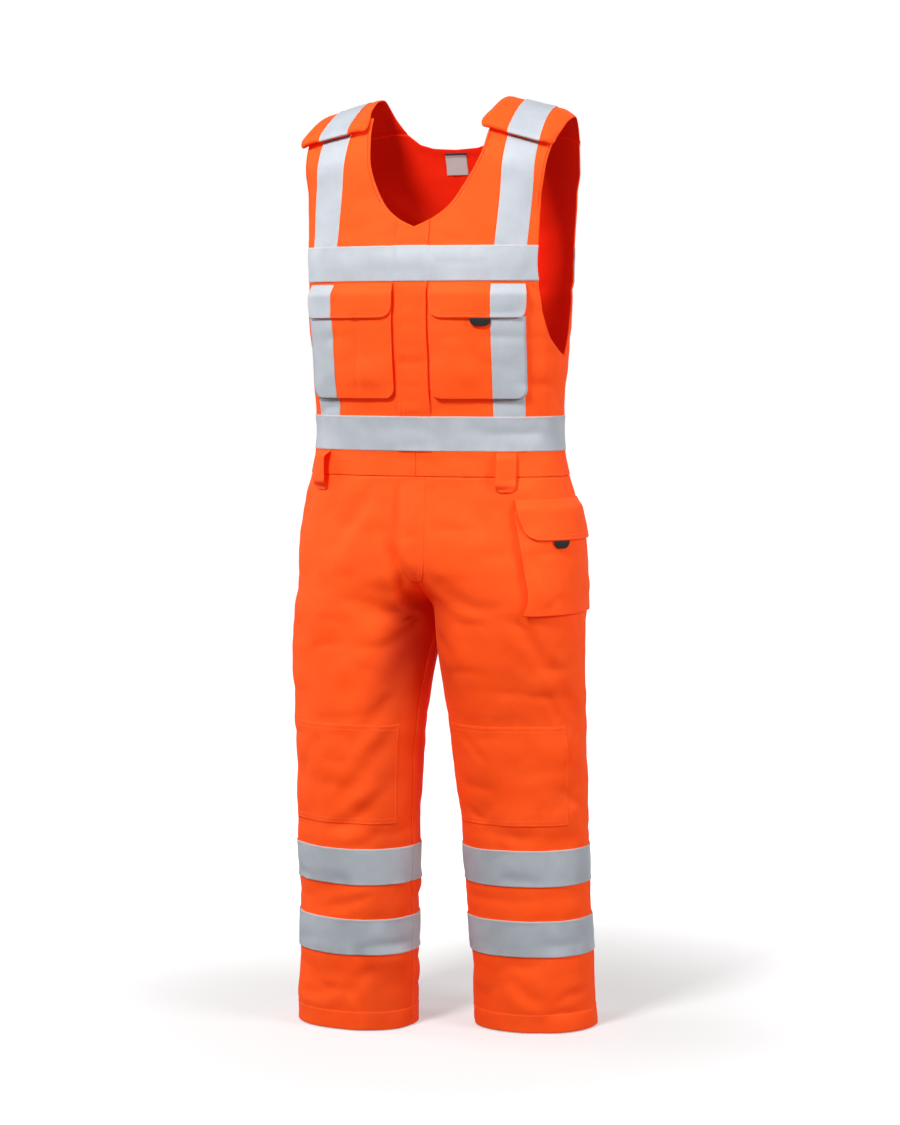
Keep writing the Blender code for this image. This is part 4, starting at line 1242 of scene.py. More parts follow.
    def finish(
        self, piece: bpy.types.Object, material: bpy.types.Material, slot: Slot, nodes: Sequence[str] = ()
    ) -> bpy.types.Object:
        """Dresses a piece and fixes it to the garment.

        Args:
            piece: The piece.
            material: Its finish. Twill also has a copy on the inner layer, painted a deeper red as shade.
            slot: The record's slot. Not used.
            nodes: The CAD nodes that it stands for.

        Returns:
            The piece.
        """
        piece.data.materials.append(material)
        if material == self.wardrobe.cloth[Slot.TWILL]:
            piece.data.materials.append(self.wardrobe.reverse)
        else:
            piece.data.polygons.foreach_set("material_index", np.zeros(len(piece.data.polygons), np.int32))
        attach(piece, "root")
        if nodes:
            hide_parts(*nodes)
        self.made[piece.name] = piece
        LOG.info("%s: %d faces", piece.name, len(piece.data.polygons))
        return piece

    def sheet(
        self, piece: bpy.types.Object, spots: Spots, turn_in: float
    ) -> None:
        """Logs the size of a piece's cut before it was sewn.

        Args:
            piece: The piece.
            spots: Its grid, which gives the cut.
            turn_in: What the cut has beyond the piece on each edge.
        """
        points, _ = self.form.place(spots)
        down, over = np.diff(points, axis=0), np.diff(points, axis=1)
        cells = np.linalg.norm(np.cross(down[:, :-1], over[:-1]), axis=-1)
        width = np.linalg.norm(over, axis=-1).sum(1).max() + 2 * turn_in
        length = np.linalg.norm(down, axis=-1).sum(0).max() + 2 * turn_in
        area = cells.sum() + 2 * turn_in * (width + length)
        area = float(np.clip(area, 0.3 * width * length, width * length))
        LOG.info("%s: cut %.0f x %.0f mm, %.4f m2", piece.name, width, length, area / 1e6)

    def cut(
        self, node: str, word: str, spots: Spots, low: Array | float, high: Array | float, hold: Hold,
        rests_on: Sequence[str], slot: Slot = Slot.TWILL, parts: Sequence[str] = (), turn_in: float = 0.0,
        **shape: Array | tuple
    ) -> bpy.types.Object:
        """Cuts and dresses one piece, and logs the size of its cut.

        Args:
            node: What its name starts with, usually the CAD node that it stands for.
            word: What it is, such as "panel".
            spots: Its grid.
            low: The inner layer's lift.
            high: The outer layer's lift.
            hold: How it is held. Not used.
            rests_on: What it lies on or hangs from. Not used.
            slot: The record's slot.
            parts: The CAD nodes that it stands for, where they are others.
            turn_in: What the cut has beyond the piece on each edge.
            shape: What else wall() takes.

        Returns:
            The piece.
        """
        piece = self.wall(f"{node}_{word}", spots, low, high, **shape)
        self.finish(piece, self.wardrobe.cloth[slot], slot, parts or (node,))
        self.sheet(piece, spots, turn_in)
        return piece


@dataclass
class Needle:
    """Sews rows of stitches, each stitch a short rounded length of thread.

    Attributes:
        cutter: Gives the folded cloth.
        pitch: The distance from stitch to stitch. Real ones are 2.8 to 3.2 mm.
        length: How long each stitch shows.
        width: Half the thread's width. Real thread is 0.4 mm, drawn as 0.8 mm so that it shows.
        height: Half the thread's height.
        rows: Each row's places in order, and how far outside the folded cloth the thread's middle lies.
    """

    cutter: Cutter
    pitch: float = 3.2
    length: float = 2.3
    width: float = 0.4
    height: float = 0.3
    rows: list[tuple[Spots, Array | float]] = field(default_factory=list)

    def row(self, spots: Spots, lift: Array | float) -> None:
        """Adds a row."""
        self.rows.append((spots, lift))

    def sew(self, name: str, slot: Slot) -> None:
        """Makes all rows as one piece, and starts afresh.

        Args:
            name: The piece's name.
            slot: The record's slot, which gives the thread.
        """
        middles, ways, outs, places = [], [], [], []
        for spots, lift in self.rows:
            points, normals = self.cutter.surface(spots, lift)
            reach = np.append(0.0, np.cumsum(np.linalg.norm(np.diff(points, axis=0), axis=1)))
            count = max(1, int(reach[-1] / self.pitch))
            at = (np.arange(count) + 0.5) * reach[-1] / count
            start, stop = at - 0.5 * self.length, at + 0.5 * self.length
            first, last, middle, out = (
                np.stack([np.interp(where, reach, values[:, i]) for i in range(3)], 1)
                for where, values in ((start, points), (stop, points), (at, points), (at, normals))
            )
            way = last - first
            middles.append(middle)
            ways.append(way / np.maximum(np.linalg.norm(way, axis=1, keepdims=True), 1e-9))
            outs.append(out)
            along = np.interp(at, reach, spots.side * spots.along)
            places.append(np.stack([along, np.interp(at, reach, spots.height)], 1))
        middle, way, out = np.concatenate(middles), np.concatenate(ways), np.concatenate(outs)
        over = np.cross(way, out)
        over /= np.maximum(np.linalg.norm(over, axis=1, keepdims=True), 1e-9)
        out = np.cross(over, way)
        shape = [(-0.5 * self.length, 0.0, -0.3), (0.5 * self.length, 0.0, -0.3)]
        for at in (-0.22 * self.length, 0.22 * self.length):
            ring = ((-self.width, 0.0), (0.0, self.height), (self.width, 0.0), (0.0, -self.height))
            shape += [(at, y, z) for y, z in ring]
        points = np.stack([middle + x * way + y * over + z * out for x, y, z in shape], axis=1)
        faces = []
        for k in range(4):
            n = (k + 1) % 4
            faces += [(0, 2 + n, 2 + k), (1, 6 + k, 6 + n), (2 + k, 2 + n, 6 + n), (2 + k, 6 + n, 6 + k)]
        size = len(shape)
        whole = (np.array(faces)[None] + size * np.arange(len(middle))[:, None, None]).reshape(-1, 3)
        spread = np.repeat(np.concatenate(places) / 1000, size, axis=0)
        spread += np.tile(np.array([(x, y) for x, y, _ in shape]) / 1000, (len(middle), 1))
        piece = self.cutter.mesh(name, points.reshape(-1, 3), whole, {CLOTH_MAP: spread})
        self.rows = []
        self.cutter.finish(piece, self.cutter.wardrobe.thread[slot], slot)


def side_word(side: int) -> str:
    """The word for a side."""
    return "left" if side == LEFT else "right"


def near_line(spots: Spots, form: Form, line: Spots) -> Array:
    """How far places lie from a line on the form.

    Args:
        spots: The places.
        form: The body form.
        line: Places along the line.

    Returns:
        The distance of each place from the line.
    """
    points, _ = form.place(spots)
    marks, _ = form.place(line)
    gap = np.full(points.shape[:-1], np.inf)
    for start, step in zip(marks[:-1], np.diff(marks, axis=0)):
        t = np.clip((points - start) @ step / max(step @ step, 1e-9), 0, 1)
        gap = np.minimum(gap, np.linalg.norm(points - start - t[..., None] * step, axis=-1))
    return gap


@dataclass
class SubAssembly:
    """What every sewn sub-assembly is made with."""

    cutter: Cutter
    needle: Needle

    def front(self, side: int, height: Array | float) -> Array:
        """The distance from the middle front to the side seam, at each height."""
        return self.cutter.form.front_length(side, height)

    def whole(self, side: int, height: Array | float) -> Array:
        """The distance from the middle front round to the middle back, at each height."""
        return self.cutter.form.whole_length(side, height)


@dataclass
class Bib(SubAssembly):
    """The front and back of the bib, with turned and stitched edges at the neck and the armholes."""

    step: float = 4.0
    turned: float = 8.0
    fold: float = 0.55

    def neck(self, side: int, height: Array) -> Array:
        """The front neckline's distance from the middle, on one side."""
        return np.where(height > NECK_POINT, edge_distance(NECKLINE, side, height), 0.0)

    def outer(self, side: int, face: int, height: Array) -> Array:
        """A panel's outer edge: the side seam, and above it the armhole.

        Args:
            side: LEFT or RIGHT.
            face: FRONT or BACK.
            height: The height of each row.

        Returns:
            Its distance from the middle of that face.
        """
        front = self.front(side, height)
        seam = front if face == FRONT else self.whole(side, height) - front
        table = FRONT_ARMHOLE if face == FRONT else BACK_ARMHOLE
        edge = edge_distance(table, side, height)
        return np.where(height <= ARMHOLE_BOTTOM, seam, np.minimum(edge, seam)) - GAP / 2

    def rim(self, side: int, face: int, back_top: bool = False) -> Spots:
        """The places along the cut edge that is turned in.

        Args:
            side: LEFT or RIGHT.
            face: FRONT or BACK.
            back_top: True for the back neckline instead of the armhole.

        Returns:
            Places along the edge.
        """
        if back_top:
            along = np.linspace(0, BACK_NECKLINE[-1].left, 40)
            height = np.interp(along, [p.left for p in BACK_NECKLINE], [p.height for p in BACK_NECKLINE])
        else:
            height = np.linspace(ARMHOLE_BOTTOM + 0.5, FRONT_TOP if face == FRONT else BACK_TOP, 90)
            along = self.outer(side, face, height)
        if face == BACK:
            along = self.whole(side, height) - along
        return Spots.on(side, along, height)

    def neck_rim(self, side: int) -> Spots:
        """Places along the front neckline."""
        height = NECK_POINT + (FRONT_TOP - NECK_POINT) * np.linspace(0, 1, 80) ** 1.6
        return Spots.on(side, self.neck(side, height), height)

    def thickened(self, spots: Spots, rims: Sequence[Spots]) -> tuple[Array, Array]:
        """The two layers' lifts, thicker where the edge is turned in.

        Args:
            spots: The panel's grid.
            rims: The turned edges.

        Returns:
            The lift of the inner layer and of the outer layer.
        """
        gap = np.full(spots.along.shape, np.inf)
        for rim in rims:
            gap = np.minimum(gap, near_line(spots, self.cutter.form, rim))
        turned = ease_in(gap, self.turned + 1.6, self.turned - 0.4)
        dip = bump(gap, self.turned - 1.0, 1.4)
        return -CLOTH - self.fold * turned, self.fold * turned - 0.3 * dip

    def build(self) -> None:
        """Builds the three panels and sews their edges."""
        for side in (LEFT, RIGHT):
            self.build_front(side)
        self.build_back()
        self.sew_edges()

    def build_front(self, side: int) -> None:
        """One front panel, from the centre zip to the side.

        Args:
            side: LEFT or RIGHT.
        """
        cutter, word = self.cutter, side_word(side)
        heights = spaced(BIB_SEAM + GAP / 2, FRONT_TOP, self.step, (NECK_POINT + 1, ARMHOLE_BOTTOM + 3))
        by_armhole = np.arange(ARMHOLE_BOTTOM + 0.5, ARMHOLE_BOTTOM + 12, 1.2)
        heights = np.unique(np.concatenate([heights, by_armhole, np.arange(NECK_POINT, 1180, 2.0)]))
        low = self.neck(side, heights) + GAP / 2
        lines = shares(62, 230, near=(4.4,))
        spots = Spots.between(side, heights, low, self.outer(side, FRONT, heights), lines)
        inner, outer = self.thickened(spots, (self.rim(side, FRONT), self.neck_rim(side)))
        outer = outer + self.side_fell(side, spots)
        cutter.cut(f"front_bib_{word}", "panel", spots, inner, outer, Hold.HUNG, (f"shoulder_strap_{word}",))

    def side_fell(self, side: int, spots: Spots) -> Array:
        """The raised band of the felled side seam.

        Args:
            side: LEFT or RIGHT.
            spots: The front panel's grid.

        Returns:
            What it adds to the outer layer.
        """
        gap = self.front(side, spots.height) - spots.along
        band = ease_in(gap, SEAM_FELL + 1.2, SEAM_FELL - 0.4)
        band = band * ease_in(spots.height, ARMHOLE_BOTTOM, ARMHOLE_BOTTOM - 8)
        return 0.6 * band - 0.9 * bump(gap, 0, 1.2)

    def build_back(self) -> None:
        """The back panel, whose top edge dips from the strap seams to the back neck."""
        cutter = self.cutter
        heights = spaced(BIB_SEAM + GAP / 2, BACK_TOP - GAP / 2, self.step, (ARMHOLE_BOTTOM + 1,))
        share, offset = shares(60, 230, near=(4.4,))
        halves = []
        for side in (RIGHT, LEFT):
            outer = self.outer(side, BACK, heights)
            along = outer[:, None] * share + np.where(share > 0.5, offset, 0.0)
            keep = np.append(True, np.diff(along[0]) > 0.05)
            along = along[:, keep]
            level = np.repeat(heights[:, None], along.shape[1], axis=1)
            top = np.interp(along, [p.left for p in BACK_NECKLINE], [p.height for p in BACK_NECKLINE])
            part = (level - SADDLE_START) / (heights[-1] - SADDLE_START)
            level = np.where(part > 0, SADDLE_START + part * (top - GAP / 2 - SADDLE_START), level)
            whole = self.whole(side, level)
            halves.append((np.full(along.shape, side), whole - along, level))
        right = [values[:, :0:-1] for values in halves[0]]
        spots = Spots(*(np.concatenate([r, l], axis=1) for r, l in zip(right, halves[1])))
        rims = [self.rim(side, BACK) for side in (LEFT, RIGHT)]
        rims += [self.rim(side, BACK, back_top=True) for side in (LEFT, RIGHT)]
        inner, outer = self.thickened(spots, rims)
        cutter.cut(
            "back_bib", "panel", spots, inner, outer, Hold.HUNG,
            ("shoulder_strap_left", "shoulder_strap_right")
        )

    def sew_edges(self) -> None:
        """Sews the turned edges and the side seams."""
        inset = self.turned - 1.2
        for side in (LEFT, RIGHT):
            for face in (FRONT, BACK):
                rim = self.rim(side, face)
                inward = -inset if face == FRONT else inset
                keep = rim.height > ARMHOLE_BOTTOM + 10
                self.needle.row(Spots(rim.side[keep], rim.along[keep] + inward, rim.height[keep]), 0.55)
            neck = self.neck_rim(side)
            over, up = np.gradient(neck.along), np.gradient(neck.height)
            slope = over / np.maximum(np.hypot(over, up), 1e-6)
            rise = np.sqrt(np.maximum(1 - slope**2, 0))
            self.needle.row(Spots(neck.side, neck.along + inset * rise, neck.height - inset * slope), 0.55)
            collar = self.rim(side, BACK, back_top=True)
            self.needle.row(Spots(collar.side, collar.along, collar.height - inset), 0.55)
            level = np.arange(BIB_SEAM, ARMHOLE_BOTTOM - 1, 3.0)
            for away in (1.8, SEAM_FELL - 1.2):
                self.needle.row(Spots.on(side, self.front(side, level) - away, level), 0.7)
        self.needle.sew("bib_stitching", Slot.TWILL)


@dataclass
class Straps(SubAssembly):
    """The shoulder straps: wide double bands that run over the shoulder and end in a thick fold in front."""

    step: float = 3.0
    edge_roll: float = 5.0
    nose: float = 8.0

    # The left end hangs more askew than the right one, and is cut shorter outside
    SLANT = {LEFT: 1.45, RIGHT: 0.65}
    SHORTER = {LEFT: 6.0, RIGHT: 0.0}

    # face, height, slant, inner, outer, low, high
    ROWS = (
        (BACK, 1293.0, 0.0, 71.5, 213.2, 0.75, 1.9),
        (BACK, 1301.5, 0.0, 73.5, 213.2, 0.75, 1.9),
        (BACK, 1307.0, 0.0, 77.0, 212.8, -1.5, 1.5),
        (BACK, 1328.0, 0.0, 88.0, 211.0, -1.5, 1.2),
        (BACK, 1358.0, 0.0, 95.0, 208.0, -1.5, 1.2),
        (FRONT, 1385.0, 0.0, 97.0, 206.0, -1.5, 1.4),
        (FRONT, 1366.0, 0.0, 96.0, 206.0, -1.2, 1.5),
        (FRONT, 1345.0, 0.0, 94.0, 204.0, 0.2, 3.0),
        (FRONT, 1326.0, -0.03, 92.0, 201.0, 1.9, 5.2),
        (FRONT, 1307.0, -0.10, 87.0, 199.0, 2.4, 8.6),
        (FRONT, 1296.0, -0.12, 85.5, 198.5, 3.6, 11.2),
        (FRONT, 1288.0, -0.12, 85.0, 198.0, 4.4, 11.6),
    )

    def rows(self, side: int) -> dict[str, Array]:
        """The strap's rows, close together, from the back seam to the fold, whose corners are round."""
        crest = SADDLE_START + SADDLE_RISE
        travel = [row[1] - crest if row[0] == BACK else crest - row[1] for row in self.ROWS]
        at = spaced(travel[0], travel[-1], self.step, fine=0.7)
        columns = {
            name: smooth_curve(travel, [row[i] for row in self.ROWS], at)
            for name, i in (("slant", 2), ("inner", 3), ("outer", 4), ("low", 5), ("high", 6))
        }
        end = travel[-1] - at
        drawn = self.nose - np.sqrt(self.nose**2 - np.clip(self.nose - end, 0, self.nose) ** 2)
        columns["slant"] = columns["slant"] * self.SLANT[side]
        columns["inner"] = columns["inner"] + 0.8 * drawn
        columns["outer"] = columns["outer"] - drawn - self.SHORTER[side] * ease_in(end, 40, 5)
        front = ease_in(at, -40, 40)
        inner, outer = tape_edges(side, crest - np.abs(at))
        columns["tape_inner"] = TAPE_INNER + front * (inner - TAPE_INNER)
        columns["tape_outer"] = TAPE_OUTER + front * (outer - TAPE_OUTER)
        return {"travel": at, "end": end, "crest": np.full(at.shape, crest), **columns}

    def spots(
        self, side: int, rows: dict[str, Array], lines: tuple[Array, Array], low: Array, high: Array
    ) -> Spots:
        """A grid over the strap.

        Args:
            side: LEFT or RIGHT.
            rows: What rows() gave.
            lines: What shares() gave.
            low: The near edge in each row.
            high: The far edge in each row.

        Returns:
            The grid.
        """
        share, offset = lines
        distance = low[:, None] + (high - low)[:, None] * share + offset
        height = rows["crest"][:, None] - np.abs(rows["travel"])[:, None]
        height = height + rows["slant"][:, None] * (distance - TAPE_INNER)
        whole = self.whole(side, height)
        along = np.where(rows["travel"][:, None] < 0, whole - distance, distance)
        return Spots.on(side, along, height)

    def distance(self, side: int, rows: dict[str, Array], spots: Spots) -> Array:
        """How far each place on the strap lies from the middle of its face."""
        whole = self.whole(side, spots.height)
        return np.where(rows["travel"][:, None] < 0, whole - spots.along, spots.along)

    def build(self) -> None:
        """Builds both straps with their tapes and stitches."""
        cutter = self.cutter
        for side in (LEFT, RIGHT):
            word = side_word(side)
            rows = self.rows(side)
            lines = shares(36, 105, near=(4.0,))
            spots = self.spots(side, rows, lines, rows["inner"], rows["outer"])
            low, high = self.layers(side, rows, spots)
            cutter.cut(
                f"shoulder_strap_{word}", "band", spots, low, high, Hold.SEWN,
                (f"front_bib_{word}", "back_bib")
            )
            self.build_tape(side, rows)
            self.sew(side, rows)
        self.needle.sew("strap_stitching", Slot.TWILL)

    def layers(self, side: int, rows: dict[str, Array], spots: Spots) -> tuple[Array, Array]:
        """The strap's two layers: rolled at its edges, puffed either side of the tape where it folds.

        Args:
            side: LEFT or RIGHT.
            rows: What rows() gave.
            spots: The strap's grid.

        Returns:
            The lift of the inner layer and of the outer layer.
        """
        distance = self.distance(side, rows, spots)
        row = {name: values[:, None] for name, values in rows.items()}
        edge = np.minimum(distance - row["inner"], row["outer"] - distance)
        end, low, high = row["end"], row["low"], row["high"]
        on_tape = ease_in(distance - row["tape_inner"], -6, 3) * ease_in(row["tape_outer"] - distance, -6, 3)
        beside = 1 - on_tape
        puff = beside * ease_in(end, 46, 8) * ease_in(edge, -2, 12)
        high = high + 3.4 * puff - 1.4 * (1 - beside) * ease_in(end, 40, 10)
        roll = np.sqrt(np.clip(1 - np.clip(edge / self.edge_roll, 0, 1), 0, 1))
        nose = np.clip(end / self.nose, 0, 1)
        round_end = np.sqrt(np.clip(1 - (1 - nose) ** 2, 0, 1))
        middle = 0.5 * (low + high)
        half = 0.5 * (high - low) * (1 - 0.45 * roll**2) * (0.3 + 0.7 * round_end)
        return middle - half, middle + half

    def build_tape(self, side: int, rows: dict[str, Array]) -> None:
        """The tape along one strap, wrapped over its folded end.

        Args:
            side: LEFT or RIGHT.
            rows: What rows() gave.
        """
        cutter = self.cutter
        word = side_word(side)
        lines = shares(14, TAPE_WIDTH, fine=0.7)
        spots = self.spots(side, rows, lines, rows["tape_inner"], rows["tape_outer"])
        _, strap = self.layers(side, rows, spots)
        high = strap + GAP + TAPE
        cutter.cut(
            f"strap_tape_{word}", "band", spots, strap + 0.15, high, Hold.SEWN,
            (f"shoulder_strap_{word}_band",), slot=Slot.TAPE, across=self.across(spots, side, rows)
        )

    def across(self, spots: Spots, side: int, rows: dict[str, Array]) -> Array:
        """How far across the tape each place lies.

        Args:
            spots: The tape's grid.
            side: LEFT or RIGHT.
            rows: What rows() gave.

        Returns:
            A share from 0 to 1 at each place.
        """
        distance = self.distance(side, rows, spots)
        inner, outer = rows["tape_inner"][:, None], rows["tape_outer"][:, None]
        return (distance - inner) / (outer - inner)

    def sew(self, side: int, rows: dict[str, Array]) -> None:
        """Sews the strap's edges and its fold.

        Args:
            side: LEFT or RIGHT.
            rows: What rows() gave.
        """
        keep = rows["end"] > 7
        used = {name: values[keep] for name, values in rows.items()}
        for edge, inward in (("inner", 6.0), ("outer", -6.0)):
            where = used[edge] + inward
            spots = self.spots(side, used, (np.zeros(1), np.zeros(1)), where, where)
            _, high = self.layers(side, used, spots)
            self.needle.row(Spots(spots.side[:, 0], spots.along[:, 0], spots.height[:, 0]), high[:, 0] + 0.1)


@dataclass
class Waistband(SubAssembly):
    """The waistband: two front bands and one back band, sewn between the trousers and the bib."""

    step: float = 3.6
    elastic_wave: float = 10.0

    def build(self) -> None:
        """Builds the three bands and their stitches."""
        cutter, form = self.cutter, self.cutter.form
        heights = spaced(WAIST_SEAM + GAP / 2, BIB_SEAM - GAP / 2, self.step)
        for side in (LEFT, RIGHT):
            far = self.front(side, heights) - GAP / 2
            spots = Spots.between(side, heights, GAP / 2, far, shares(64, 235, near=(4.4,)))
            gap = self.front(side, spots.height) - spots.along
            lip = 0.5 * ease_in(spots.height, WAIST_SEAM, WAIST_SEAM + 2)
            high = lip - 0.9 * bump(gap, 0, 1.2)
            name = f"waistband_front_{side_word(side)}"
            cutter.cut(name, "band", spots, -CLOTH, high, Hold.SEWN, (f"front_bib_{side_word(side)}_panel",))
            row = np.linspace(3, float(self.front(side, WAIST_SEAM)) - 3, 120)
            self.needle.row(Spots.on(side, row, WAIST_SEAM + 2.6), 0.6)
        spots = self.across_back(heights, shares(116, 470, near=(4.4,)))
        points, _ = form.place(spots)
        uneven = 2 * cutter.relief.noise.at(points / 30)
        gathers = np.cos(math.tau * points[..., 0] / self.elastic_wave + uneven)
        inside = ease_in(spots.height, WAIST_SEAM + 2, WAIST_SEAM + 9)
        inside = inside * ease_in(spots.height, WAIST_TAPE + 2, WAIST_TAPE - 6)
        inside = inside * ease_in(np.abs(points[..., 0]), 150, 110)
        high = 0.5 * ease_in(spots.height, WAIST_SEAM, WAIST_SEAM + 2) + 0.8 * gathers * inside
        cutter.cut(
            "waistband_back", "band", spots, -CLOTH + 0.4 * gathers * inside, high, Hold.GATHERED,
            ("back_bib_panel",)
        )
        for level in (WAIST_SEAM + 2.6, WAIST_SEAM + 18.0):
            row = self.across_back(np.array([level, level + 0.01]), shares(116, 470))
            self.needle.row(Spots(row.side[0], row.along[0], row.height[0]), 0.7)
        self.needle.sew("waistband_stitching", Slot.TWILL)

    def across_back(self, heights: Array, lines: tuple[Array, Array]) -> Spots:
        """A grid across the back, from the right side seam to the left one.

        Args:
            heights: The height of each row.
            lines: What shares() gave.

        Returns:
            The grid.
        """
        sides = (LEFT, RIGHT)
        reach = {side: self.whole(side, heights) - self.front(side, heights) - GAP / 2 for side in sides}
        return self.cutter.form.across_back(heights, reach, lines)


@dataclass
class Trousers(SubAssembly):
    """The four leg panels, the knee patches and the fly shield."""

    step: float = 4.2
    hem_fold: float = 0.5

    def build(self) -> None:
        """Builds the panels, the patches, the fly and their stitches."""
        for side in (LEFT, RIGHT):
            for face in (FRONT, BACK):
                self.build_panel(side, face)
            self.build_knee(side)
            self.sew_seams(side)
        self.build_fly()
        self.needle.sew("trouser_stitching", Slot.TWILL)

    def build_panel(self, side: int, face: int) -> None:
        """One leg panel.

        Args:
            side: LEFT or RIGHT.
            face: FRONT or BACK.
        """
        cutter = self.cutter
        heights = spaced(HEM, WAIST_SEAM - GAP / 2, self.step, (HEM_FOLD, 612.0))
        front, whole = self.front(side, heights), self.whole(side, heights)
        low, high = (0 * front, front) if face == FRONT else (front, whole)
        # Seams are drawn tight. Over the crotch, where the two sides turn apart, they overlap a little
        tight = 0.1 + 0.9 * ease_in(heights, 640, 660)
        near = low - (tight if face == FRONT else 0.1)
        far = high + (0.1 if face == FRONT else tight)
        spots = Spots.between(side, heights, near, far, shares(66, 270, near=(4.4, 7.6, 9.4)))
        seam = self.front(side, spots.height) - spots.along
        inner = self.whole(side, spots.height) - spots.along
        felled = seam if face == FRONT else inner
        outer = 0.6 * ease_in(felled, SEAM_FELL + 1.2, SEAM_FELL - 0.4) * (felled >= 0)
        outer = outer - 0.4 * bump(seam, 0, 1.3) - 0.4 * bump(inner, 0, 1.3) - 0.4 * bump(spots.along, 0, 1.3)
        outer = outer - 0.8 * bump(spots.height, WAIST_SEAM, 1.6)
        turned = ease_in(spots.height, HEM_FOLD + 1.2, HEM_FOLD - 0.8)
        outer = outer + 0.4 * turned - 0.35 * bump(spots.height, HEM_FOLD, 1.6)
        under = -CLOTH - self.hem_fold * turned
        name = f"trouser_{'front' if face == FRONT else 'back'}_{side_word(side)}"
        band = f"front_{side_word(side)}" if face == FRONT else "back"
        cutter.cut(name, "panel", spots, under, outer, Hold.HUNG, (f"waistband_{band}_band",))

    def build_knee(self, side: int) -> None:
        """One knee patch.

        Args:
            side: LEFT or RIGHT.
        """
        cutter = self.cutter
        heights = spaced(*KNEE_PATCH, self.step)
        front = self.front(side, heights)
        spots = Spots.between(side, heights, 0.12 * front, 0.77 * front, shares(44, 190, near=(4.0,)))
        name = f"knee_patch_{side_word(side)}"
        cutter.cut(name, "cloth", spots, 0.05, 0.75, Hold.SEWN, (f"trouser_front_{side_word(side)}_panel",))
        share = np.linspace(0.125, 0.765, 90)
        for level in (KNEE_PATCH[0] + 2.2, KNEE_PATCH[0] + 8.0, KNEE_PATCH[1] - 2.2, KNEE_PATCH[1] - 8.0):
            self.needle.row(Spots.on(side, share * float(self.front(side, level)), level), 0.8)
        level = np.linspace(KNEE_PATCH[0] + 2, KNEE_PATCH[1] - 2, 60)
        for part, inward in ((0.12, 2.2), (0.77, -2.2)):
            self.needle.row(Spots.on(side, part * self.front(side, level) + inward, level), 0.8)

    def sew_seams(self, side: int) -> None:
        """Sews the side, inner and back seams and the hem.

        Args:
            side: LEFT or RIGHT.
        """
        level = np.arange(HEM + 3, WAIST_SEAM - 1, 4.0)
        for away in (1.8, SEAM_FELL - 1.2):
            self.needle.row(Spots.on(side, self.front(side, level) - away, level), 0.7)
            self.needle.row(Spots.on(side, self.whole(side, level) - away, level), 0.7)
        round_leg = np.linspace(0.5, float(self.whole(side, HEM_FOLD)) - 0.5, 160)
        self.needle.row(Spots.on(side, round_leg, HEM_FOLD - 1.2), 0.5)
        front = np.linspace(0.5, float(self.front(side, WAIST_SEAM)), 100)
        self.needle.row(Spots.on(side, front, WAIST_SEAM - 3.0), 0.1)

    FLY = (
        (656.0, 6.0, 6.0),
        (659.0, 10.0, 11.0),
        (667.0, 14.0, 16.5),
        (680.0, 16.0, 21.0),
        (700.0, 16.0, 22.0),
        (740.0, 16.0, 22.0),
        (WAIST_SEAM - GAP, 16.0, 22.0),
    )

    def build_fly(self) -> None:
        """The shield over the fly, whose lower end is rounded, and the curved double row that holds it."""
        cutter = self.cutter
        table = list(zip(*self.FLY))
        bottom = self.FLY[0][0]
        heights = spaced(bottom, WAIST_SEAM - GAP, 4.0)
        heights = np.unique(np.concatenate([heights, np.arange(bottom, bottom + 12, 1.5)]))
        share, offset = shares(14, 38, fine=0.7)
        left, right = smooth_curve(table[0], table[1], heights), smooth_curve(table[0], table[2], heights)
        wide = (left + right)[:, None]
        signed = -right[:, None] + wide * share + offset * np.clip(wide / 12, 0, 1)
        spots = Spots.signed(signed, heights[:, None])
        # The free edge is on the right. The other one is sewn into the left front, so it lies flat
        flat = ease_in(left[:, None] - signed, 26, 2)
        high = GAP + 0.35 + (1 - flat) * (1.6 + 0.5 * ease_in(signed + right[:, None], 6, 1))
        cutter.cut(
            "fly_shield", "cloth", spots, 0.1, high, Hold.SEWN,
            ("trouser_front_left_panel", "trouser_front_right_panel")
        )
        for inward in (2.2, 7.0):
            down = np.linspace(WAIST_SEAM - 2, bottom + inward, 80)
            edge = -smooth_curve(table[0], table[2], down) + inward
            back = np.linspace(bottom + inward, 690, 20)
            other = smooth_curve(table[0], table[1], back) - inward
            row = np.concatenate([edge, other[np.abs(other) > 1]])
            where = np.concatenate([down, back[np.abs(other) > 1]])
            self.needle.row(Spots.signed(row, where), 2.2)


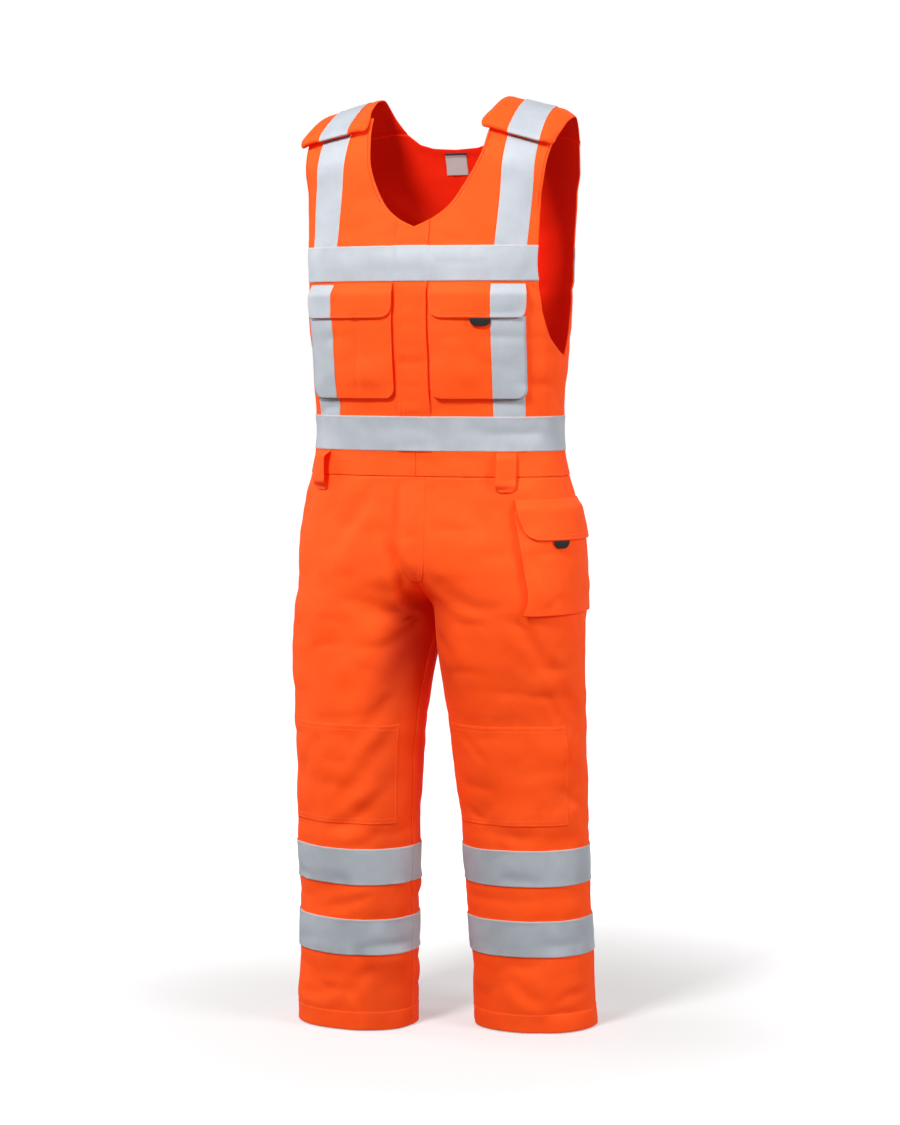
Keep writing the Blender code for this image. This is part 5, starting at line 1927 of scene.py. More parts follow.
@dataclass
class Placket(SubAssembly):
    """The strip that covers the centre zip, in the two stretches that the chest tape leaves."""

    def build(self) -> None:
        """Builds both stretches with their stitches."""
        cutter = self.cutter
        stretches = (
            ("placket_lower", WAIST_TAPE + TAPE_WIDTH - 4, CHEST_TAPE + 4),
            ("placket_upper", CHEST_TAPE + TAPE_WIDTH - 4, NECK_POINT)
        )
        share, offset = shares(14, 2 * PLACKET_HALF, fine=0.7)
        for name, bottom, top in stretches:
            heights = spaced(bottom, top, 3.2)
            signed = np.tile(-PLACKET_HALF + 2 * PLACKET_HALF * share + offset, (len(heights), 1))
            level = np.repeat(heights[:, None], signed.shape[1], axis=1)
            if name == "placket_upper":
                # Its top follows the neckline
                neck = np.interp(np.abs(signed), [p.left for p in NECKLINE], [p.height for p in NECKLINE])
                part = (level - bottom) / (top - bottom)
                level = bottom + part * (neck - 1.0 - bottom)
            spots = Spots.signed(signed, level)
            ripple = 0.5 * cutter.relief.noise.at(np.stack([signed / 30, 0 * signed, level / 11], -1))
            edge = PLACKET_HALF - np.abs(signed)
            free = ease_in(level, bottom + 2, bottom + 14)
            if name == "placket_lower":
                free = free * ease_in(level, top - 2, top - 14)
            high = 1.5 + free * (0.8 + 0.5 * ease_in(edge, 8, 1) + ripple * ease_in(edge, 0, 8))
            # Its left edge is not sewn down, so it stands off and leaves a dark line
            stands_off = 1.5 if name == "placket_lower" else 0.2
            open_edge = stands_off * free * ease_in(signed, PLACKET_HALF - 8, PLACKET_HALF)
            cutter.cut(
                name, "strip", spots, 0.1 + open_edge, high + open_edge, Hold.SEWN,
                ("front_bib_left_panel", "front_bib_right_panel")
            )
            for at in (-PLACKET_HALF + 2.4, PLACKET_HALF - 2.4, -PLACKET_HALF + 8.5):
                row = np.linspace(bottom + 2, top - 2, 90)
                self.needle.row(Spots.signed(at, row), 2.8)
        self.needle.sew("placket_stitching", Slot.TWILL)


@dataclass
class PocketBag:
    """The outline and the swell of a pocket bag that stands off its panel.

    Attributes:
        side: LEFT or RIGHT.
        bottom: Its lowest height.
        top: Its highest height, under the flap.
        near: The near edge's distance at each height.
        far: The far edge's distance at each height.
        corner: The radius of its lower corners.
        wall_rise: How high its side walls stand.
        swell: How much further its middle bulges.
        wall_width: How wide the foot of a wall is.
        overhang: How far the rim hangs out over that foot.
        taper: The share by which the walls get lower towards the far edge.
    """

    side: int
    bottom: float
    top: float
    near: Callable[[Array], Array]
    far: Callable[[Array], Array]
    corner: float = 12.0
    wall_rise: float = 5.6
    swell: float = 3.0
    wall_width: float = 2.4
    overhang: float = 2.0
    taper: float = 0.0

    def rise(self, along: Array, height: Array) -> Array:
        """How high the walls stand: less towards the far edge, where the pocket lies flatter."""
        near, far = self.near(height), self.far(height)
        return self.wall_rise * (1 - self.taper * np.clip((along - near) / (far - near), 0, 1))

    def ends(self, height: Array) -> tuple[Array, Array]:
        """Where the bag's edges lie in each row, drawn in round its lower corners.

        Args:
            height: The height of each row.

        Returns:
            The near and the far edge.
        """
        up = np.clip(height - self.bottom, 0, self.corner)
        drawn = self.corner - np.sqrt(np.maximum(self.corner**2 - (self.corner - up) ** 2, 0))
        return self.near(height) + drawn, self.far(height) - drawn

    def inward(self, along: Array, height: Array) -> Array:
        """How far a place lies inside the bag's outline.

        Args:
            along: The distance of each place.
            height: The height of each place.

        Returns:
            The distance from the nearest edge, not counting the open top.
        """
        left = along - self.near(height)
        right = self.far(height) - along
        up = height - self.bottom
        side = np.minimum(left, right)
        round_x, round_y = self.corner - side, self.corner - up
        corner = self.corner - np.hypot(np.maximum(round_x, 0), np.maximum(round_y, 0))
        return np.minimum(np.where((round_x > 0) & (round_y > 0), corner, np.inf), np.minimum(side, up))

    def lean(self, along: Array, height: Array) -> tuple[Array, Array]:
        """How far the bag's rim hangs out over the foot of its wall.

        Args:
            along: The distance of each place.
            height: The height of each place.

        Returns:
            What to add to each distance and each height.
        """
        inward = self.inward(along, height)
        over = self.inward(along + 0.5, height) - self.inward(along - 0.5, height)
        up = self.inward(along, height + 0.5) - self.inward(along, height - 0.5)
        size = np.maximum(np.hypot(over, up), 1e-6)
        out = (self.wall_width + self.overhang) * ease_in(inward, 0, self.wall_width)
        out = out * ease_in(inward, self.wall_width + 16, self.wall_width)
        return -out * over / size, -out * up / size

    def lift(self, along: Array, height: Array) -> Array:
        """How far the bag's outside stands off the panel.

        Args:
            along: The distance of each place.
            height: The height of each place.

        Returns:
            The lift at each place.
        """
        inward = self.inward(along, height)
        wall = GAP + (self.rise(along, height) - GAP) * ease_in(inward, 0, self.wall_width)
        low = 1 - 0.45 * ease_in(height, self.bottom + 30, self.top)
        return wall + self.swell * low * (1 - np.exp(-np.maximum(inward - 1, 0) / 22))


@dataclass
class Pocket(SubAssembly):
    """A patch pocket: a bag with walls, a flap over its mouth and, on some, a pull tab.

    Attributes:
        name: The word that its pieces' names start with.
        nodes: The CAD nodes of the bag and the flap.
        bag: The bag.
        flap_near: The flap's near edge at each height.
        flap_far: The flap's far edge at each height.
        flap_bottom: The flap's lowest height.
        flap_top: The height of the flap's seam.
        rests_on: What the pocket is sewn to.
        folds: How far its soft folds stand out at each place.
        columns: How many lines its grids have.
    """

    name: str
    nodes: tuple[str, str]
    bag: PocketBag
    flap_near: Callable[[Array], Array]
    flap_far: Callable[[Array], Array]
    flap_bottom: float
    flap_top: float
    rests_on: tuple[str, ...]
    folds: Callable[[Array, Array], Array]
    columns: int = 40

    def flap_lift(self, along: Array, height: Array) -> Array:
        """How far the flap's underside stands off the panel.

        Args:
            along: The distance of each place.
            height: The height of each place.

        Returns:
            The lift at each place.
        """
        down = ease_in(height, self.flap_top, self.flap_top - 17)
        middle = 0.5 * (self.bag.near(height) + self.bag.far(height))
        half = 0.5 * (self.bag.far(height) - self.bag.near(height))
        crown = 1 - np.clip(np.abs(along - middle) / half, 0, 1) ** 2
        return GAP + down * (self.bag.rise(along, height) + 0.9 + (self.bag.swell - 0.2) * crown**0.6)

    def build(self) -> None:
        """Builds the bag and the flap with their stitches."""
        self.build_bag()
        self.build_flap()
        self.sew()

    def build_bag(self) -> None:
        """The bag, with its folded walls."""
        bag, cutter = self.bag, self.cutter
        close = [0, 0.3, 0.9, 1.8, 3.0, 4.5, 6.5, 9.0, 12.0]
        rise = np.concatenate([close, np.arange(16, bag.top - bag.bottom, 3.4)])
        heights = np.unique(np.append(bag.bottom + rise, bag.top))
        near, far = bag.ends(heights)
        lines = shares(self.columns, float(np.mean(far - near)), fine=0.6, near=(2.4, 3.4, 5.4))
        spots = Spots.between(bag.side, heights, near, far, lines)
        lift = bag.lift(spots.along, spots.height) + self.folds(spots.along, spots.height)
        under = np.maximum(lift - 2.0, 0.1)
        shift = bag.lean(spots.along, spots.height)
        cutter.cut(
            self.name, "bag", spots, under, np.maximum(lift, under + 0.35), Hold.SEWN, self.rests_on,
            parts=(self.nodes[0],), turn_in=bag.wall_rise, shift=shift
        )

    def build_flap(self) -> None:
        """The flap, two layers of cloth with a stitched rim."""
        cutter = self.cutter
        close = [0, 0.5, 1.3, 2.4, 4.0, 6.0, 8.5, 11.5]
        rise = np.concatenate([close, np.arange(14.5, self.flap_top - self.flap_bottom, 3.0)])
        heights = np.unique(np.append(self.flap_bottom + rise, self.flap_top))
        near, far = self.flap_near(heights), self.flap_far(heights)
        lines = shares(self.columns, float(np.mean(far - near)), fine=0.6, near=(3.0,))
        spots = Spots.between(self.bag.side, heights, near, far, lines)
        low = self.flap_lift(spots.along, spots.height)
        near, far = self.flap_ends(spots.height)
        edge = np.minimum(spots.along - near, far - spots.along)
        edge = np.minimum(edge, spots.height - self.flap_bottom)
        lip = ease_in(edge, 7, 0.5)
        high = low + 1.9 + 0.35 * lip + 0.4 * self.folds(spots.along, spots.height)
        cutter.cut(self.name, "flap", spots, low, high, Hold.SEWN, self.rests_on, parts=(self.nodes[1],))

    def sew(self) -> None:
        """Sews the bag's rim and the flap's."""
        bag = self.bag
        self.outline(bag.ends, bag.bottom, self.flap_bottom + 3, 1.2 + bag.wall_width, bag.lift)
        for inward in (2.2, 7.0):
            self.outline(self.flap_ends, self.flap_bottom, self.flap_top - 3, inward, self.flap_face)
        level = np.full(70, self.flap_top - 4.0)
        near, far = (float(edge[0]) for edge in self.flap_ends(level))
        row = np.linspace(near + 2, far - 2, 70)
        self.needle.row(Spots.on(bag.side, row, level), self.flap_face(row, level))

    def flap_ends(self, height: Array) -> tuple[Array, Array]:
        """The flap's near and far edge at each height."""
        return self.flap_near(height), self.flap_far(height)

    def flap_face(self, along: Array, height: Array) -> Array:
        """The lift of the flap's outer face."""
        return self.flap_lift(along, height) + 2.2

    def outline(
        self, ends: Callable[[Array], tuple[Array, Array]], bottom: float, top: float, inward: float,
        lift: Callable[[Array, Array], Array]
    ) -> None:
        """Sews a U-shaped row: down the near edge, along the bottom and up the far edge.

        Args:
            ends: The edges in each row.
            bottom: The lowest height of the outline.
            top: Where the row ends.
            inward: How far inside the outline it runs.
            lift: The lift of the surface that it is sewn on.
        """
        down = np.concatenate([np.linspace(top, bottom + 14, 30), bottom + np.linspace(13, 0.0, 26)])
        near, far = ends(down)
        along = np.concatenate([near, np.linspace(near[-1], far[-1], 24)[1:-1], far[::-1]])
        height = np.concatenate([down, np.full(22, down[-1]), down[::-1]])
        step = np.stack([np.gradient(along), np.gradient(height)], 1)
        step /= np.maximum(np.linalg.norm(step, axis=1, keepdims=True), 1e-9)
        along, height = along - inward * step[:, 1], height + inward * step[:, 0]
        keep = np.append(True, np.hypot(np.diff(along), np.diff(height)) > 0.05)
        along, height = along[keep], height[keep]
        rise = lift(along, height) + 0.1
        if lift == self.bag.lift:
            over, up = self.bag.lean(along, height)
            along, height = along + over, height + up
        self.needle.row(Spots.on(self.bag.side, along, height), rise)


def constant(value: float) -> Callable[[Array], Array]:
    """An edge at the same distance at every height."""
    return lambda height: np.full(np.shape(height), value)


@dataclass
class Pockets(SubAssembly):
    """The two chest pockets and the thigh pocket, with their pull tabs and the tapes over them."""

    BAG_BOTTOM = 918.0
    FLAP_BOTTOM = 1030.0
    FLAP_TOP = 1079.0
    PEN_LINE = 84.0
    CARGO_BAG = (
        (612.0, 0.655, 0.71),
        (631.0, 0.637, 0.695),
        (647.0, 0.617, 0.68),
        (667.0, 0.602, 0.67),
        (700.0, 0.588, 0.655),
        (740.0, 0.573, 0.64),
        (760.0, 0.571, 0.635),
    )
    CARGO_FLAP = (
        (715.0, 0.67, 0.72),
        (719.0, 0.63, 0.68),
        (726.0, 0.605, 0.655),
        (740.0, 0.587, 0.64),
        (757.0, 0.575, 0.63),
        (774.0, 0.571, 0.625),
    )

    def build(self) -> None:
        """Builds every pocket."""
        self.chest = {side: self.chest_pocket(side) for side in (LEFT, RIGHT)}
        for side, pocket in self.chest.items():
            pocket.build()
            self.build_tapes(side, pocket)
        self.sew_pen_line()
        self.cargo = self.cargo_pocket()
        self.cargo.build()
        self.needle.sew("pocket_stitching", Slot.TWILL)
        self.build_tab("chest_tab", self.chest[LEFT], 101.0, 14.0)
        centre = 0.80 * float(self.front(LEFT, 715.0))
        self.build_tab("cargo_tab", self.cargo, centre, 13.0)

    def chest_pocket(self, side: int) -> Pocket:
        """One chest pocket's measures."""
        word = side_word(side)
        flap = (
            (self.FLAP_BOTTOM, 11.0), (self.FLAP_BOTTOM + 2, 6.0), (self.FLAP_BOTTOM + 6, 2.4),
            (self.FLAP_BOTTOM + 14, 0.5), (self.FLAP_BOTTOM + 22, 0.0), (self.FLAP_TOP, 0.0)
        )

        def draw(height: Array) -> Array:
            """How far the flap's edges are drawn in."""
            return smooth_curve([p[0] for p in flap], [p[1] for p in flap], height)

        def far(height: Array) -> Array:
            """The upright tape's outer edge, which the pocket ends at."""
            return tape_edges(side, height)[1]

        return Pocket(
            self.cutter,
            self.needle,
            f"chest_pocket_{word}",
            (f"chest_pocket_{word}", f"chest_flap_{word}"),
            PocketBag(
                side, self.BAG_BOTTOM, 1062.0, constant(POCKET_INNER + 0.5), lambda height: far(height) + 0.5
            ),
            lambda height: POCKET_INNER - 2.2 + 1.7 * draw(height),
            lambda height: far(height) + 2.6 - draw(height),
            self.FLAP_BOTTOM,
            self.FLAP_TOP,
            (f"front_bib_{word}_panel",),
            self.chest_folds(side),
        )

    def chest_folds(self, side: int) -> Edge:
        """The soft folds of a chest bag, and the dip along the pen division."""

        def folds(along: Array, height: Array) -> Array:
            """How far the folds stand out."""
            inside = ease_in(along, POCKET_INNER + 6, POCKET_INNER + 22)
            inside = inside * ease_in(along, TAPE_INNER, TAPE_INNER - 14)
            inside = inside * ease_in(height, self.BAG_BOTTOM + 5, self.BAG_BOTTOM + 18)
            wave = self.cutter.relief.noise.at(np.stack([along / 26, 0 * along + side, height / 34], -1))
            sewn = 2.6 if side == RIGHT else 0.0
            dip = sewn * bump(along, self.PEN_LINE, 2.2) * (height < self.FLAP_BOTTOM + 6)
            return 0.9 * wave * inside - dip * inside

        return folds

    def sew_pen_line(self) -> None:
        """Sews the row that divides a pen pocket off the right bag."""
        bag = self.chest[RIGHT].bag
        level = np.linspace(self.BAG_BOTTOM + 4, self.FLAP_BOTTOM + 2, 60)
        for at in (self.PEN_LINE - 1.6, self.PEN_LINE + 1.6):
            along = np.full(60, at)
            lift = bag.lift(along, level) + self.chest[RIGHT].folds(along, level)
            self.needle.row(Spots.on(RIGHT, along, level), lift + 0.1)

    def cargo_edge(self, table: Sequence[tuple[float, float, float]], back: bool) -> Callable[[Array], Array]:
        """An edge of the thigh pocket, which reaches from the front panel over the side seam.

        Args:
            table: Rows of height, share of the front panel and share of the back panel.
            back: True for the edge on the back panel.

        Returns:
            The edge's distance at each height.
        """
        heights = [row[0] for row in table]

        def edge(height: Array) -> Array:
            """The edge's distance."""
            front = self.front(LEFT, height)
            if not back:
                return smooth_curve(heights, [row[1] for row in table], height) * front
            length = self.whole(LEFT, height) - front
            return front + (1 - smooth_curve(heights, [row[2] for row in table], height)) * length

        return edge

    def cargo_pocket(self) -> Pocket:
        """The thigh pocket's measures."""
        noise = self.cutter.relief.noise
        near = self.cargo_edge(self.CARGO_BAG, False)

        def folds(along: Array, height: Array) -> Array:
            """How far the folds stand out."""
            # A soft diagonal crease falls from under the flap's near corner to the bottom
            across = along - near(height)
            line = 10 + 0.36 * (704 - height)
            crease = -1.9 * bump(across - line, 0, 7) + 1.1 * bump(across - line, -14, 8)
            inside = ease_in(height, 700, 680) * ease_in(height, 618, 632) * ease_in(across, 3, 14)
            wave = noise.at(np.stack([along / 30, 0 * along, height / 34], -1))
            return inside * (crease + 0.8 * wave)

        bag = PocketBag(
            LEFT, 612.0, 757.0, near, self.cargo_edge(self.CARGO_BAG, True), corner=9.0, wall_rise=8.0,
            overhang=2.4, swell=1.4, taper=0.78
        )
        return Pocket(
            self.cutter, self.needle, "cargo_pocket", ("cargo_pocket", "cargo_flap"), bag,
            self.cargo_edge(self.CARGO_FLAP, False), self.cargo_edge(self.CARGO_FLAP, True), 715.0, 774.0,
            ("trouser_front_left_panel", "trouser_back_left_panel"), folds, columns=56
        )

    def build_tab(self, name: str, pocket: Pocket, centre: float, half_width: float) -> None:
        """A black pull tab that hangs from a flap, with a round end.

        Args:
            name: The CAD node's name.
            pocket: The pocket whose flap it hangs from.
            centre: The distance of its middle.
            half_width: Half its width.
        """
        cutter = self.cutter
        drop = np.array([0.0, 0.15, 0.35, 0.6, 0.8, 0.9, 0.96, 1.0])
        heights = pocket.flap_bottom - 0.2 - 11.0 * drop[::-1]
        half = half_width * np.sqrt(np.clip(1 - (0.93 * drop[::-1]) ** 3, 0, 1))
        share = np.linspace(-1, 1, 15)
        along = centre + half[:, None] * share
        spots = Spots.on(LEFT, along, heights[:, None])
        low = pocket.flap_lift(along, np.full(along.shape, pocket.flap_bottom)) + 0.2
        cutter.cut(name, "cloth", spots, low, low + 2.0, Hold.SEWN, (f"{pocket.name}_flap",), slot=Slot.TAB)

    def build_tapes(self, side: int, pocket: Pocket) -> None:
        """The stretches of the upright tape that run over a chest pocket's bag and flap.

        Args:
            side: LEFT or RIGHT.
            pocket: The pocket.
        """
        cutter, word = self.cutter, side_word(side)
        bag = pocket.bag
        heights = spaced(self.BAG_BOTTOM + 1.2, self.FLAP_BOTTOM + 2, 3.2, fine=0.7)
        _, far = bag.ends(heights)
        inner, outer = tape_edges(side, heights)
        far = np.minimum(far - 0.8, outer - 0.3)
        spots = Spots.between(side, heights, inner, far, shares(16, TAPE_WIDTH, fine=0.7))
        base = bag.lift(spots.along, spots.height)
        share = (spots.along - inner[:, None]) / (outer - inner)[:, None]
        shift = bag.lean(spots.along, spots.height)
        cutter.cut(
            f"pocket_tape_{word}", "band", spots, base + 0.05, base + GAP + 0.6, Hold.SEWN,
            (f"{pocket.name}_bag",), slot=Slot.TAPE, across=share, shift=shift
        )
        close = self.FLAP_BOTTOM + np.array([0.3, 1.0, 2.2, 4, 6, 8.5, 11.5])
        heights = np.unique(np.append(close, np.arange(1045, self.FLAP_TOP, 3.2)))
        inner, outer = tape_edges(side, heights)
        lines = shares(14, TAPE_WIDTH, fine=0.7)
        spots = Spots.between(side, heights, inner, pocket.flap_far(heights) - 0.3, lines)
        base = pocket.flap_lift(spots.along, spots.height) + 1.9
        share = (spots.along - inner[:, None]) / (outer - inner)[:, None]
        cutter.cut(
            f"flap_tape_{word}", "band", spots, base, base + GAP + 0.7, Hold.SEWN, (f"{pocket.name}_flap",),
            slot=Slot.TAPE, across=share
        )


@dataclass
class Tapes(SubAssembly):
    """The reflective tapes sewn straight on the garment: round chest, waist and legs, and up the bib."""

    bib: Bib
    waistband: Waistband
    thick: float = 0.9

    def build(self) -> None:
        """Builds every tape and its stitches."""
        self.build_level("chest", CHEST_TAPE)
        self.build_level("waist", WAIST_TAPE)
        for side in (LEFT, RIGHT):
            self.build_uprights(side)
            for number, bottom in enumerate(LEG_TAPES, start=1):
                self.build_leg(side, number, bottom)
        self.needle.sew("tape_stitching", Slot.TAPE)

    def lay(
        self, name: str, spots: Spots, lift: Array | float, across: Array, rests_on: Sequence[str],
        parts: Sequence[str] = ()
    ) -> None:
        """Makes one stretch of tape and sews both its long edges.

        Args:
            name: The word that the piece's name starts with, usually the CAD node's name.
            spots: Its grid.
            lift: How far its underside stands off the folded cloth.
            across: How far across the tape each place lies.
            rests_on: What it is sewn to.
            parts: The CAD nodes that it stands for, where its own name isn't one.
        """
        cutter = self.cutter
        lift = np.broadcast_to(lift, spots.along.shape)
        cutter.cut(
            name, "band", spots, lift + 0.05, lift + GAP + self.thick, Hold.SEWN, rests_on, slot=Slot.TAPE,
            parts=parts, across=across
        )

    def build_level(self, word: str, bottom: float) -> None:
        """The tape round the chest or the waist, in its front, middle and back stretches.

        Args:
            word: "chest" or "waist".
            bottom: Its lower edge's height.
        """
        heights = spaced(bottom + GAP / 2, bottom + TAPE_WIDTH - GAP / 2, 3.6, fine=0.7)
        share = (heights - bottom) / TAPE_WIDTH
        reach = {side: self.bib.outer(side, FRONT, heights) for side in (LEFT, RIGHT)}
        spots = Spots.signed(from_right(reach, shares(96, 400, fine=0.7)), heights[:, None])
        # The upright tapes and the placket run under it, and show as low steps
        edges = zip(tape_edges(LEFT, spots.height), tape_edges(RIGHT, spots.height))
        inner, outer = (np.where(spots.side == LEFT, left, right) for left, right in edges)
        upright = ease_in(spots.along - inner, -2, 1) * ease_in(outer - spots.along, -2, 1)
        placket = ease_in(spots.along, PLACKET_HALF + 3, PLACKET_HALF - 1)
        lift = 0.8 * upright + 1.7 * placket
        across = np.repeat(share[:, None], spots.along.shape[1], axis=1)
        parts = [f"{word}_tape_{part}" for part in ("front_right", "middle", "front_left")]
        panels = ("front_bib_left_panel", "front_bib_right_panel")
        self.lay(f"{word}_tape_front", spots, lift, across, panels, parts)
        self.sew_level(spots, lift + 1.2)
        if word == "waist":
            spots = self.waistband.across_back(heights, shares(120, 470, fine=0.7))
        else:
            spots = self.across_back(heights)
        across = np.repeat(share[:, None], spots.along.shape[1], axis=1)
        self.lay(f"{word}_tape_back", spots, 0.0, across, ("back_bib_panel",))
        self.sew_level(spots, 1.2)

    def across_back(self, heights: Array) -> Spots:
        """A grid across the back, from armhole to armhole.

        Args:
            heights: The height of each row.

        Returns:
            The grid.
        """
        reach = {side: self.bib.outer(side, BACK, heights) for side in (LEFT, RIGHT)}
        return self.cutter.form.across_back(heights, reach, shares(110, 440, fine=0.7))

    def sew_level(self, spots: Spots, lift: Array | float) -> None:
        """Sews a level tape's two long edges.

        Args:
            spots: The tape's grid.
            lift: The lift of its outer face.
        """
        lift = np.broadcast_to(lift, spots.along.shape)
        for edge, inward in ((0, 2.4), (-1, -2.4)):
            height = spots.height[edge] + inward
            self.needle.row(Spots(spots.side[edge], spots.along[edge], height), lift[edge] + 0.05)

    def build_uprights(self, side: int) -> None:
        """The upright tapes of one side that lie on the bib, in front and at the back.

        Args:
            side: LEFT or RIGHT.
        """
        word = side_word(side)
        chest_top, waist_top = CHEST_TAPE + TAPE_WIDTH, WAIST_TAPE + TAPE_WIDTH
        stretches = (
            ("bib_tape_upper", FRONT, chest_top - 4, 1303.0), ("bib_tape_lower", FRONT, waist_top - 4, 920.0),
            ("back_tape_upper", BACK, chest_top - 4, BACK_TOP - 1),
            ("back_tape_lower", BACK, waist_top - 4, CHEST_TAPE + 4)
        )
        share, offset = shares(14, TAPE_WIDTH, fine=0.7)
        for name, face, bottom, top in stretches:
            heights = spaced(bottom, top, 3.6, fine=0.7)
            inner, outer = 0 * heights + TAPE_INNER, 0 * heights + TAPE_OUTER
            if face == FRONT:
                inner, outer = tape_edges(side, heights)
            along = inner[:, None] + (outer - inner)[:, None] * share + offset
            level = np.repeat(heights[:, None], along.shape[1], axis=1)
            across = (along - inner[:, None]) / (outer - inner)[:, None]
            if face == BACK:
                along = self.whole(side, level) - along
            spots = Spots.on(side, along, level)
            under = "back_bib_panel" if face == BACK else f"front_bib_{word}_panel"
            self.lay(f"{name}_{word}", spots, 0.0, across, (under,))
            inward = 2.4 if face == FRONT else -2.4
            for edge, away in ((0, inward), (-1, -inward)):
                self.needle.row(Spots.on(side, spots.along[:, edge] + away, level[:, edge]), 1.25)

    def build_leg(self, side: int, number: int, bottom: float) -> None:
        """One tape round a leg, joined at the inner seam.

        Args:
            side: LEFT or RIGHT.
            number: 1 for the lower tape, 2 for the upper.
            bottom: Its lower edge's height.
        """
        heights = spaced(bottom, bottom + LEG_TAPE_WIDTH, 3.8, fine=0.7)
        whole = self.whole(side, heights)
        spots = Spots.between(side, heights, 0 * whole + 0.2, whole - 0.2, shares(150, 570, fine=0.7))
        share = (heights - bottom) / LEG_TAPE_WIDTH
        across = np.repeat(share[:, None], spots.along.shape[1], axis=1)
        panels = (f"trouser_front_{side_word(side)}_panel", f"trouser_back_{side_word(side)}_panel")
        self.lay(f"leg_tape_{number}_{side_word(side)}", spots, 0.6, across, panels)
        self.sew_level(spots, 1.85)


@dataclass
class BeltLoops(SubAssembly):
    """Four belt loops, each sewn down at both ends and standing off the waistband between them."""

    bottom: float = 783.0
    top: float = 840.0

    # name, side, face, centre, width, how far it stands off
    LOOPS = (
        ("belt_loop_front_left", LEFT, FRONT, 131.0, 29.0, 5.0),
        ("belt_loop_front_right", RIGHT, FRONT, 157.0, 30.0, 9.5),
        ("belt_loop_back_left", LEFT, BACK, 136.0, 26.0, 4.0),
        ("belt_loop_back_right", RIGHT, BACK, 136.0, 26.0, 4.0),
    )

    def build(self) -> None:
        """Builds the loops and their stitches."""
        cutter = self.cutter
        for name, side, face, centre, width, most in self.LOOPS:
            heights = spaced(self.bottom, self.top, 3.0, fine=0.7)
            heights = np.unique(np.concatenate([heights, self.bottom + np.arange(0, 9, 1.3)]))
            up = heights - self.bottom
            half = 0.5 * width * np.sqrt(np.clip(1 - (1 - np.clip(up / 8.0, 0, 1)) ** 2 * 0.75, 0, 1))
            share = np.linspace(-1, 1, 17)
            along = centre + half[:, None] * share
            level = np.repeat(heights[:, None], 17, axis=1)
            if face == BACK:
                along = self.whole(side, level) - along
            spots = Spots.on(side, along, level)
            stand = most * (ease_in(up, 1.5, 12) * ease_in(heights, self.top, self.top - 10))[:, None]
            crown = 0.8 * (1 - share**2)
            # The edge nearer the middle stands off more, so daylight shows it as a slit
            stand = stand * (1 - 0.35 * share)
            low = 0.7 + stand
            high = low + 2.0 + crown * (stand / most)
            word = f"front_{side_word(side)}" if face == FRONT else "back"
            cutter.cut(name, "strap", spots, low, high, Hold.SEWN, (f"waistband_{word}_band",))
            for column in (2, 14):
                keep = up > 4
                row = Spots.on(side, spots.along[keep, column], spots.height[keep, column])
                self.needle.row(row, high[keep, column] + 0.1)
            for at in (3.0, 5.0):
                lift = float(np.interp(at, up, high[:, 8]))
                middle = spots.along[6, 8]
                row = Spots.on(side, 0.8 * (spots.along[6] - middle) + middle, self.bottom + at)
                self.needle.row(row, lift)
        self.needle.sew("belt_loop_stitching", Slot.TWILL)


@dataclass
class NeckLabel:
    """A bare woven label on the inside of the back neck, folded over at its top."""

    cutter: Cutter
    half_width: float = 16.5
    bottom: float = 1241.0
    top: float = 1273.0

    def build(self) -> None:
        """Builds the label, whose darker top edge is folded over."""
        cutter = self.cutter
        fold = self.top - 5.0
        heights = spaced(self.bottom, self.top, 2.5, (fold,), fine=0.5)
        signed = np.repeat(np.linspace(-self.half_width, self.half_width, 19)[None], len(heights), axis=0)
        level = np.repeat(heights[:, None], 19, axis=1)
        spots = Spots.signed(signed, level)
        whole = np.where(spots.side == LEFT, *(cutter.form.whole_length(s, level) for s in (LEFT, RIGHT)))
        spots = Spots(spots.side, whole - spots.along, level)
        ripple = 0.3 * np.cos(math.tau * signed / 31) * ease_in(level, self.top, self.bottom)
        low = -CLOTH - 1.6 - ripple - 0.7 * ease_in(level, fold - 0.6, fold)
        high = -CLOTH - 0.75 - ripple
        hung = (Hold.HUNG, ("back_bib_panel",))
        piece = cutter.cut("neck_label", "cloth", spots, low, high, *hung, slot=Slot.LABEL)
        piece.data.materials.append(cutter.wardrobe.label_fold)
        for face in piece.data.polygons:
            face.material_index = int(1000 * face.center[2] + SHOULDER > fold)


